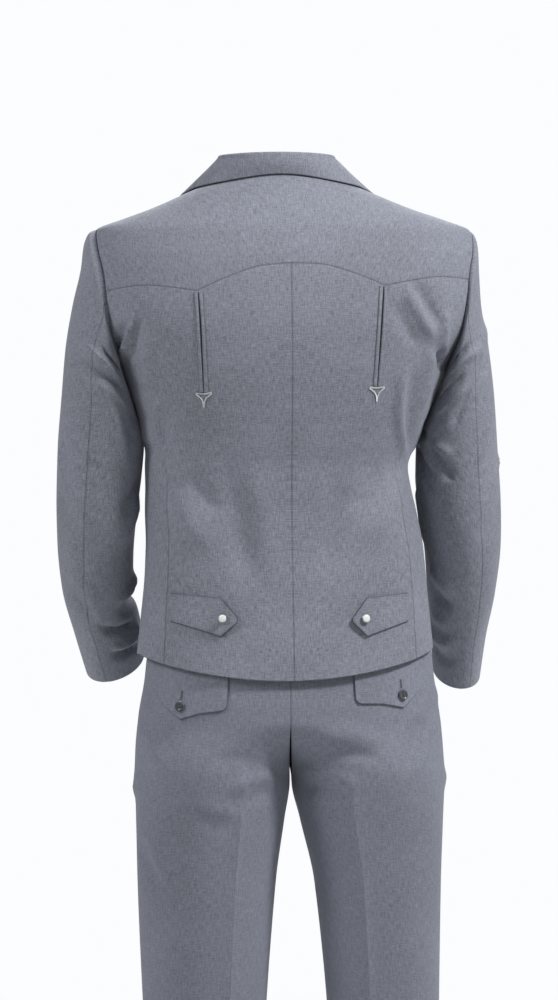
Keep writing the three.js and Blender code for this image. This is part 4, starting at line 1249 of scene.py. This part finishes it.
def fly():
    wide, low = 18, SEAT_Z + 8

    def surface(u, v):
        z = lerp(WAISTBAND.top - WAISTBAND.height - 2, low, v)
        share = (wide * np.abs(u) / HIPS.a(z) / np.radians(90)) ** (1 / HIP_TURN)
        right, left = trouser(1, False, share, z), trouser(-1, False, share, z)
        return np.where((u > 0)[..., None], right, left)

    us, vs = spaced(36, 3, -1, 1), spaced(115, 5)
    cloth("fly", surface, us, vs, "TTTT", look=TROUSERS, lift=-2.4,
          thick=TROUSER_SHELL)


# ---- what is sewn on the back ----
def on_back(x, z, lift=0.0):
    return torso(back_angle(x, z), z, lift)


def slit_line(side, v, aside=0.0):
    """Place across and height on a slit, a share down it; `aside` moves it off the slit."""
    x = side * (lerp(SLIT.top_x, SLIT.bottom_x, v) + aside)
    return x, lerp(SLIT.top_z, SLIT.bottom_z, v) + LEAN * x


def tab_share(x):
    """How far along a tab a place is, from its outer end to its point."""
    return (TAB[0][0] - x) / (TAB[0][0] - TAB[2][0])


def tab_x(side, x):
    return side * x + lerp(TAB_SHIFT.outer, TAB_SHIFT.inner, tab_share(x))


def tab_lift(share):
    """How far a tab stands away from the back, which is only toward its point."""
    return TAB_END.lift * ease((share - TAB_END.start) / TAB_END.run)


def tab_point(side, u, v, lift=0.0):
    x = lerp(TAB[0][0], TAB[2][0], u)
    z = lerp(corners(TAB, x, 1), corners(TAB, x, 2), v)
    point = on_back(tab_x(side, x), z, lift)
    point[..., 1] -= tab_lift(u)
    return point


def tab(hand, side):
    def surface(u, v):
        return tab_point(side, u, v)

    shoulder = tab_share(TAB[1][0])
    us = runs([0, shoulder, 1], [56, 20], [2, 1.2])
    us = us[us < 0.995]  # at its very point the two edges would meet
    cloth(f"tab_{hand}", surface, us, spaced(42, 2), "NTTT", lift=TAB_OVER,
          thick=TAB_THICK)


def slit_gap(v):
    """Half the opening between a slit's lips, a share down it."""
    return np.interp(v, [0, 0.12, 0.35, 0.7, 1], [0.45, 0.8, 1.0, 0.6, 0.25])


def welts(hand, side):
    """The two padded lips of a slit, rolled over their seams, and the cloth between them, with
    painted shade in the opening and along the lips' outer edges.
    """
    def surface(u, v):
        lip = np.clip((np.abs(u) * SLIT.lip - slit_gap(v)) / (SLIT.lip - slit_gap(v)), 0, 1)
        rise = 1.5 * np.sqrt(np.maximum(0, np.sin(np.pi * lerp(0.03, 0.97, lip)))) * (lip > 0)
        return on_back(*slit_line(side, v, u * SLIT.lip), rise)

    # painted shade: nearly black in the opening between the lips, and darker along their outer
    # edges where they meet the back
    def painted_slit_shade(u, v):
        across = np.abs(u) * SLIT.lip
        inside = 0.1 + 0.9 * ease((across - slit_gap(v) + 0.1) / 0.7)
        return inside * (1 - 0.4 * ease((across - SLIT.lip + 1.0) / 0.8))

    half = np.array([0, 0.04, 0.08, 0.12, 0.16, 0.2, 0.25, 0.31, 0.39, 0.5, 0.62, 0.74, 0.83,
                     0.9, 0.95, 0.98, 1])
    us = joined(-half, half)
    nodes = [f"welt_{hand}_inner", f"welt_{hand}_outer"]
    cloth(f"welts_{hand}", surface, us, spaced(120, 2.4), "NNNN", lift=0.15,
          thick=0.6, nodes=nodes, shaded=painted_slit_shade)


def flap(hand, side):
    def surface(t, v):
        z = lerp(corners(FLAP, t, 1), corners(FLAP, t, 2), v)
        level = trouser(side, True, t, z)
        return trouser(side, True, t, z + FLAP_LEAN * level[..., 0])

    ends = [row[0] for row in FLAP]
    ts = joined(*(np.linspace(a, b, 9) for a, b in zip(ends, ends[1:])),
                spaced(62, 4, ends[0], ends[-1]))
    cloth(f"pocket_flap_{hand}", surface, ts, spaced(44, 2), "FFFF",
          (side * LEG_X, 0), TROUSERS, lift=FLAP_OVER, thick=FLAP_THICK)


waistband()
fly()
for hand, side in HANDS.items():
    trouser_panel(hand, side, True)
    trouser_panel(hand, side, False)
    flap(hand, side)
    tab(hand, side)
    welts(hand, side)


# ---- buttons, snaps and embroidery ----
def placed(points, base, normal, up=(0, 0, 1)):
    """Turns points made flat, facing +Z, so that they stand on a base along its normal."""
    out = unit(np.asarray(normal, float))
    across = unit(np.cross(up, out))
    frame_of = np.stack([across, np.cross(out, across), out], axis=0)
    return np.asarray(points) @ frame_of + base


def ring_faces(count, rings, start=0):
    """Faces between closed rings of `count` points each, the first point's number being `start`."""
    faces = []
    for low in range(start, start + (rings - 1) * count, count):
        for a in range(count):
            b = (a + 1) % count
            faces.append((low + a, low + b, low + count + b, low + count + a))
    return faces


def lathe(profile, count):
    """Points and faces of a turned shape, closed by a point at each end of its axis; its faces
    lie in bands of `count`, from its foot up."""
    turn = np.linspace(0, 2 * np.pi, count, endpoint=False)
    rings = [[(r * math.cos(a), r * math.sin(a), z) for a in turn] for r, z in profile[1:-1]]
    points = np.concatenate([[(0, 0, profile[0][1])], *rings, [(0, 0, profile[-1][1])]])
    top, last = 1 + (len(rings) - 1) * count, len(points) - 1
    pairs = [(a, (a + 1) % count) for a in range(count)]
    foot = [(0, 1 + b, 1 + a) for a, b in pairs]
    cap = [(top + a, top + b, last) for a, b in pairs]
    return points, foot + ring_faces(count, len(rings), 1) + cap


def solid_mesh(name, points, faces, materials, material_of=None):
    mesh = bpy.data.meshes.new(name)
    mesh.from_pydata((np.asarray(points) * MM).tolist(), [], faces)
    for material in materials:
        mesh.materials.append(material)
    if material_of is not None:
        mesh.polygons.foreach_set("material_index", np.array(material_of, np.int32))
    return smooth(mesh, TRIM_EDGE)


# Profiles from the foot up over the face: radius and height.
SNAP_PROFILE = [
    (0, 0), (3.4, 0), (4.9, 0.5), (5.3, 1.0), (5.35, 1.5), (5.1, 1.85), (4.7, 1.9),
    (4.62, 1.75), (4.3, 2.15), (3.4, 2.5), (2.2, 2.7), (1.0, 2.78), (0, 2.8),
]
SNAP_TURNS = 40
RIM_BANDS = 7  # the rings of that profile that are metal; the rest is the pearl cap
BUTTON_PROFILE = [
    (0, 0), (0.78, 0), (0.93, 0.14), (1, 0.36), (0.98, 0.62), (0.92, 0.8), (0.85, 0.84),
    (0.77, 0.76), (0.68, 0.58), (0.5, 0.52), (0, 0.5),
]


def snap(hand, side):
    x = tab_x(side, TAB_SNAP.x)
    base = on_back(x, TAB_SNAP.z, TAB_SNAP.over)
    degrees = back_angle(x, TAB_SNAP.z)
    base = base - np.array([0, tab_lift(tab_share(TAB_SNAP.x)), 0])
    points, faces = lathe(SNAP_PROFILE, SNAP_TURNS)
    points = placed(points, base, torso_normal(degrees, TAB_SNAP.z))
    materials = [int(k >= RIM_BANDS * SNAP_TURNS) for k in range(len(faces))]
    mesh = solid_mesh(f"snap_{hand}", points, faces, [METAL, PEARL], materials)
    add(f"snap_{hand}_cap", mesh, None, "pearl_snap", f"snap_{hand}")


def button(name, base, normal, size):
    """A button with a raised rim and four holes sewn through with thread."""
    radius, tall = size.radius, size.tall
    points, faces = lathe([(r * radius, h * tall) for r, h in BUTTON_PROFILE], 44)
    body = linked(name, solid_mesh(name, points, faces, [HORN]))
    spread, hole = radius * 0.2, radius * 0.1
    bit, bit_faces = lathe([(0, -1), (hole, -1), (hole, tall + 1), (0, tall + 1)], 12)
    holes = [(dx * spread, dy * spread, 0) for dx in (-1, 1) for dy in (-1, 1)]
    drill_points = np.concatenate([bit + place for place in holes])
    drill_faces = [[index + k * len(bit) for index in face] for k in range(4) for face in bit_faces]
    drill = linked("drill", solid_mesh("drill", drill_points, drill_faces, [HORN]))
    cut = body.modifiers.new("holes", "BOOLEAN")
    cut.operation, cut.object, cut.solver = "DIFFERENCE", drill, "EXACT"
    mesh = settled(body)
    bpy.data.objects.remove(drill)
    cut_points = np.array([vertex.co for vertex in mesh.vertices]) / MM
    moved = placed(cut_points, base, normal) * MM
    mesh.vertices.foreach_set("co", moved.astype(np.float32).ravel())
    add(f"{name}_disc", smooth(mesh, TRIM_EDGE), HORN, "dark_button", name)
    # two parallel bars of thread over the face
    long, low, high = spread + 0.2, tall * 0.42, tall * 0.72
    lines = [
        placed([(x, -long, low), (x, 0, high), (x, long, low)], base, normal)
        for dx in (-spread, spread) for x in (dx - 0.28, dx, dx + 0.28)
    ]
    threads(f"{name}_thread", lines, 0.22, HORN_THREAD)


THREAD_SIDES = 6


def threads(name, lines, radius, material, slot="trouser_cloth"):
    """Lines of round thread, as one mesh of tubes."""
    turn = np.linspace(0, 2 * np.pi, THREAD_SIDES, endpoint=False)
    points, faces = [], []
    for line in lines:
        line = np.asarray(line, float)
        along = unit(np.gradient(line, axis=0))
        side_of = unit(np.cross(along, [0.13, 0.91, 0.4]))
        other = np.cross(along, side_of)
        start = len(points)
        for place, a, b in zip(line, side_of, other):
            points += [place + radius * (math.cos(t) * a + math.sin(t) * b) for t in turn]
        faces += ring_faces(THREAD_SIDES, len(line), start)
        end = len(points) - THREAD_SIDES
        first, last = range(start, start + THREAD_SIDES), range(end, end + THREAD_SIDES)
        faces += [tuple(first)[::-1], tuple(last)]
    add(name, solid_mesh(name, points, faces, [material]), None, slot)


def on_flap(side, z):
    """A point of the trousers under a flap's button line, and the way out there."""
    t = FLAP_BUTTON.t
    z = z + FLAP_LEAN * trouser(side, True, t, z)[0]
    base = trouser(side, True, t, z)
    along = trouser(side, True, t + 0.01, z) - base
    up = trouser(side, True, t, z + 1) - base
    normal = unit(np.cross(along, up))
    return base, normal if normal[1] < 0 else -normal


for hand, side in HANDS.items():
    snap(hand, side)
    base, normal = on_flap(side, FLAP_BUTTON.z)
    button(f"pocket_button_{hand}", base + normal * (FLAP_OVER + 0.4), normal, FLAP_BUTTON)
for label, z in zip(("upper", "lower"), FRONT_BUTTON.z):
    degrees = -front_angle(0, z)
    base, normal = front_point(-1, -degrees, z), torso_normal(degrees, z)
    button(f"front_button_{label}", base + normal * 0.5, normal, FRONT_BUTTON)


# ---- stitches ----
def stitch_tree():
    """Lays stitches along the lines of a mesh; each line's points carry the way out as `out`."""
    inputs = [
        ("Lines", "Geometry"), ("Spacing", "Float"), ("Length", "Float"), ("Radius", "Float"),
        ("Slant", "Float"), ("Unevenness", "Float", 0.06), ("Seed", "Int"), ("Thread", "Material"),
    ]
    outputs = [("Stitches", "Geometry")]
    n, given, out = node_group("row_of_stitches", inputs, outputs, "Geometry")
    n.tree.is_modifier = True
    curve = n.get("GeometryNodeMeshToCurve", {"Mesh": given["Lines"]})
    values = {"Curve": curve, "Length": given["Spacing"]}
    curve = n.get("GeometryNodeResampleCurve", values, mode="LENGTH")
    points = n.put("GeometryNodeCurveToPoints", {"Curve": curve}, mode="EVALUATED").outputs
    outward = n.get("GeometryNodeInputNamedAttribute", {"Name": "out"}, data_type="FLOAT_VECTOR")
    face = n.get("FunctionNodeAlignRotationToVector", {"Vector": outward}, axis="Z")
    values = {"Rotation": face, "Vector": points["Tangent"]}
    along = n.get("FunctionNodeAlignRotationToVector", values, axis="X", pivot_axis="Z")
    values = {2: -1.0, 3: 1.0, "Seed": given["Seed"]}
    wobble = n.put("FunctionNodeRandomValue", values, data_type="FLOAT").outputs[1]
    turn = n.math("MULTIPLY_ADD", wobble, given["Unevenness"], given["Slant"])
    twist = n.get("FunctionNodeEulerToRotation", {0: n.get("ShaderNodeCombineXYZ", {2: turn})})
    values = {"Rotation": along, "Rotate By": twist}
    slanted = n.get("FunctionNodeRotateRotation", values, rotation_space="LOCAL")
    half = n.math("MULTIPLY", given["Length"], 0.5)
    size = n.get("ShaderNodeCombineXYZ", {0: half, 1: given["Radius"], 2: given["Radius"]})
    bead = n.get("GeometryNodeMeshUVSphere", {"Segments": 6, "Rings": 5, "Radius": 1.0})
    bead = n.get("GeometryNodeTransform", {"Geometry": bead, "Scale": size})
    values = {"Points": points["Points"], "Instance": bead, "Rotation": slanted}
    many = n.get("GeometryNodeInstanceOnPoints", values)
    real = n.get("GeometryNodeRealizeInstances", {"Geometry": many})
    real = n.get("GeometryNodeSetShadeSmooth", {"Geometry": real})
    values = {"Geometry": real, "Material": given["Thread"]}
    n.feed(out, {"Stitches": n.get("GeometryNodeSetMaterial", values)})
    return n.tree


STITCHES = stitch_tree()
# Kinds of stitching in millimetres: spacing, stitch length, thread radius, slant in degrees.
EDGE_STITCH = (2.9, 2.3, 0.2, 4)
SATIN = (0.34, 2.3, 0.24, 78)
BUTTONHOLE = (0.5, 1.5, 0.24, 86)
HOLE = Sizes(low=8.5, high=19, points=14, half_wide=0.85)  # above its button


def stitch(name, lines, kind, material, slot, *nodes):
    """Stitches along lines, each a pair of arrays: points and the way out at each of them."""
    points, ways = (np.concatenate(part) for part in zip(*lines))
    edges, start = [], 0
    for line, _ in lines:
        edges += [(k, k + 1) for k in range(start, start + len(line) - 1)]
        start += len(line)
    mesh = bpy.data.meshes.new(name)
    mesh.from_pydata((points * MM).tolist(), edges, [])
    out = mesh.attributes.new("out", "FLOAT_VECTOR", "POINT")
    out.data.foreach_set("vector", ways.astype(np.float32).ravel())
    path = linked(f"{name}_path", mesh)
    rows = path.modifiers.new("stitches", "NODES")
    rows.node_group = STITCHES
    spacing, length, radius, slant = kind
    values = {
        "Spacing": spacing * MM, "Length": length * MM, "Radius": radius * MM,
        "Slant": math.radians(slant), "Seed": 11, "Thread": material,
    }
    for socket in STITCHES.interface.items_tree:
        if socket.name in values:
            rows[socket.identifier] = values[socket.name]
    made = settled(path)
    made.name = name
    add(name, made, None, slot, *nodes)


def inset(outline, distance):
    """An open outline of flat corners, moved aside by a distance, its corners kept sharp."""
    outline = np.asarray(outline, float)
    way = unit(np.diff(outline, axis=0))
    aside = np.stack([-way[:, 1], way[:, 0]], -1) * distance
    moved = [outline[0] + aside[0]]
    for k in range(1, len(outline) - 1):
        a, b = aside[k - 1], aside[k]
        moved.append(outline[k] + (a + b) / (1 + np.dot(a, b) / distance ** 2))
    moved.append(outline[-1] + aside[-1])
    return np.array(moved)


def along_outline(outline, step=2.0):
    """Points along an outline of flat corners, every corner among them."""
    points = []
    for a, b in zip(outline, outline[1:]):
        count = max(2, int(np.linalg.norm(np.asarray(b) - a) / step))
        points += [lerp(np.asarray(a), np.asarray(b), k / count) for k in range(count)]
    return np.array([*points, outline[-1]])


def outward_of(points):
    """The way out at points of the back, taken from the torso under them."""
    degrees = back_angle(points[:, 0], points[:, 2])
    return torso_normal(degrees, points[:, 2])


def tab_stitches(side):
    (x0, top0, low0), (x1, top1, low1), (x2, top2, low2) = TAB
    tip = (top2 + low2) / 2
    edge = [(x0, top0), (x1, top1), (x2 - 0.5, tip), (x1, low1), (x0, low0)]
    flat = along_outline(inset(edge, EDGE_BAND))
    u = (x0 - flat[:, 0]) / (x0 - x2)
    top, low = corners(TAB, flat[:, 0], 1), corners(TAB, flat[:, 0], 2)
    v = (top - flat[:, 1]) / np.maximum(top - low, 0.1)
    keep = (v > 0) & (v < 1) & (u < 0.985)
    points = tab_point(side, u[keep], v[keep], TAB_OVER + 0.06)
    return points, outward_of(points)


def arrowhead(hand, side):
    """Satin stitch at a slit's end: a sagging bar, and two curved arms that meet at a point."""
    half, tall = ARROWHEAD.wide / 2 - 1.1, ARROWHEAD.tall
    share = np.linspace(0, 1, 28)

    def line(aside, down):
        x = side * SLIT.bottom_x + aside
        points = on_back(x, SLIT.bottom_z - down + LEAN * x, 0.9)
        return points, outward_of(points)

    arm = half * (1 - share) ** 3 + 0.35
    drop = lerp(2.6, tall - 0.6, share)
    lines = [line(lerp(-half, half, share), 1.2 + 1.1 * np.sin(np.pi * share)),
             line(-arm, drop), line(arm, drop)]
    stitch(f"arrowhead_{hand}_embroidery", lines, SATIN, SILVER, "silver_thread",
           f"arrowhead_{hand}")


def buttonhole(hand, side):
    """A worked buttonhole in a pocket flap, above its button, with a dark thread down its opening
    as painted shadow.
    """
    ups = np.linspace(HOLE.low, HOLE.high, HOLE.points)
    line = [on_flap(side, FLAP_BUTTON.z + up) for up in ups]
    base, out = (np.array(part) for part in zip(*line))
    base = base + out * (FLAP_OVER + 0.1)
    across = unit(np.cross(out, [0.0, 0.0, 1.0]))
    rows = [(base + across * aside, out) for aside in (-HOLE.half_wide, HOLE.half_wide)]
    stitch(f"buttonhole_{hand}", rows, BUTTONHOLE, HORN_THREAD, "trouser_cloth")
    # painted shadow: a dark thread down the middle stands for the shadow in the buttonhole's
    # opening
    threads(f"buttonhole_{hand}_shadow_cord", [base], 0.32, HORN_THREAD)


for hand, side in HANDS.items():
    arrowhead(hand, side)
    buttonhole(hand, side)
    stitch(f"tab_stitches_{hand}", [tab_stitches(side)], EDGE_STITCH, SEWING_THREAD,
           "jacket_cloth")


# ---- camera, light and floor ----
def aim(thing, place, target):
    thing.location = place
    thing.rotation_euler = (Vector(target) - Vector(place)).to_track_quat("-Z", "Y").to_euler()


TARGET = (-0.0048, 0.0, -0.3787)
VIEW_TURN = math.radians(-5)
VIEW_DISTANCE = 10.0
FRAME_HEIGHT = 1.21  # metres of the suit that the picture takes in
BACK_DEPTH = 0.06  # the suit's back is this much nearer than the target
FLOOR_GAP = 0.03  # the trousers end above the floor, as over shoes
camera_data = bpy.data.cameras.new("camera")
camera_data.lens = camera_data.sensor_width * (VIEW_DISTANCE - BACK_DEPTH) / FRAME_HEIGHT
camera_data.clip_end = 60
camera = linked("camera", camera_data)
away = Vector((math.sin(VIEW_TURN), -math.cos(VIEW_TURN), 0)) * VIEW_DISTANCE
aim(camera, Vector(TARGET) + away, TARGET)
bpy.context.scene.camera = camera


def soft_light(name, place, target_z, size, power):
    data = bpy.data.lights.new(name, "AREA")
    data.shape, data.size, data.energy = "DISK", size, power
    aim(linked(name, data), place, (0, 0, target_z))


soft_light("key", (1.9, -1.35, 1.85), -0.3, 0.6, 98)
soft_light("fill", (-2.3, -1.0, 1.1), -0.3, 1.0, 33)
soft_light("front", (0.5, 3.4, 1.2), -0.6, 2.4, 70)

# A white studio: what is seen of it is white, and what it sheds is a soft part of the light.
world = bpy.data.worlds.new("studio")
bpy.context.scene.world = world
bpy.context.scene.view_settings.view_transform = "Standard"
world.use_nodes = True
studio = Nodes(world.node_tree)
seen = studio.put("ShaderNodeLightPath").outputs["Is Camera Ray"]
studio.feed(world.node_tree.nodes["Background"].inputs, {
    "Color": (0.97, 0.98, 1.0, 1), "Strength": studio.ramp(seen, 0.0, 1.0, 0.27, 1.0),
})

floor_z = TROUSER_HEM_Z * MM - FLOOR_GAP
bpy.ops.mesh.primitive_circle_add(
    vertices=96, radius=2.4, fill_type="NGON", location=(0, 0, floor_z))
floor = bpy.context.object
floor.name = "floor"
paint, paint_nodes, paint_shader = new_material("pale_floor")
paint_nodes.feed(paint_shader, {"Base Color": (0.82, 0.82, 0.81, 1), "Roughness": 0.7})
floor.data.materials.append(paint)
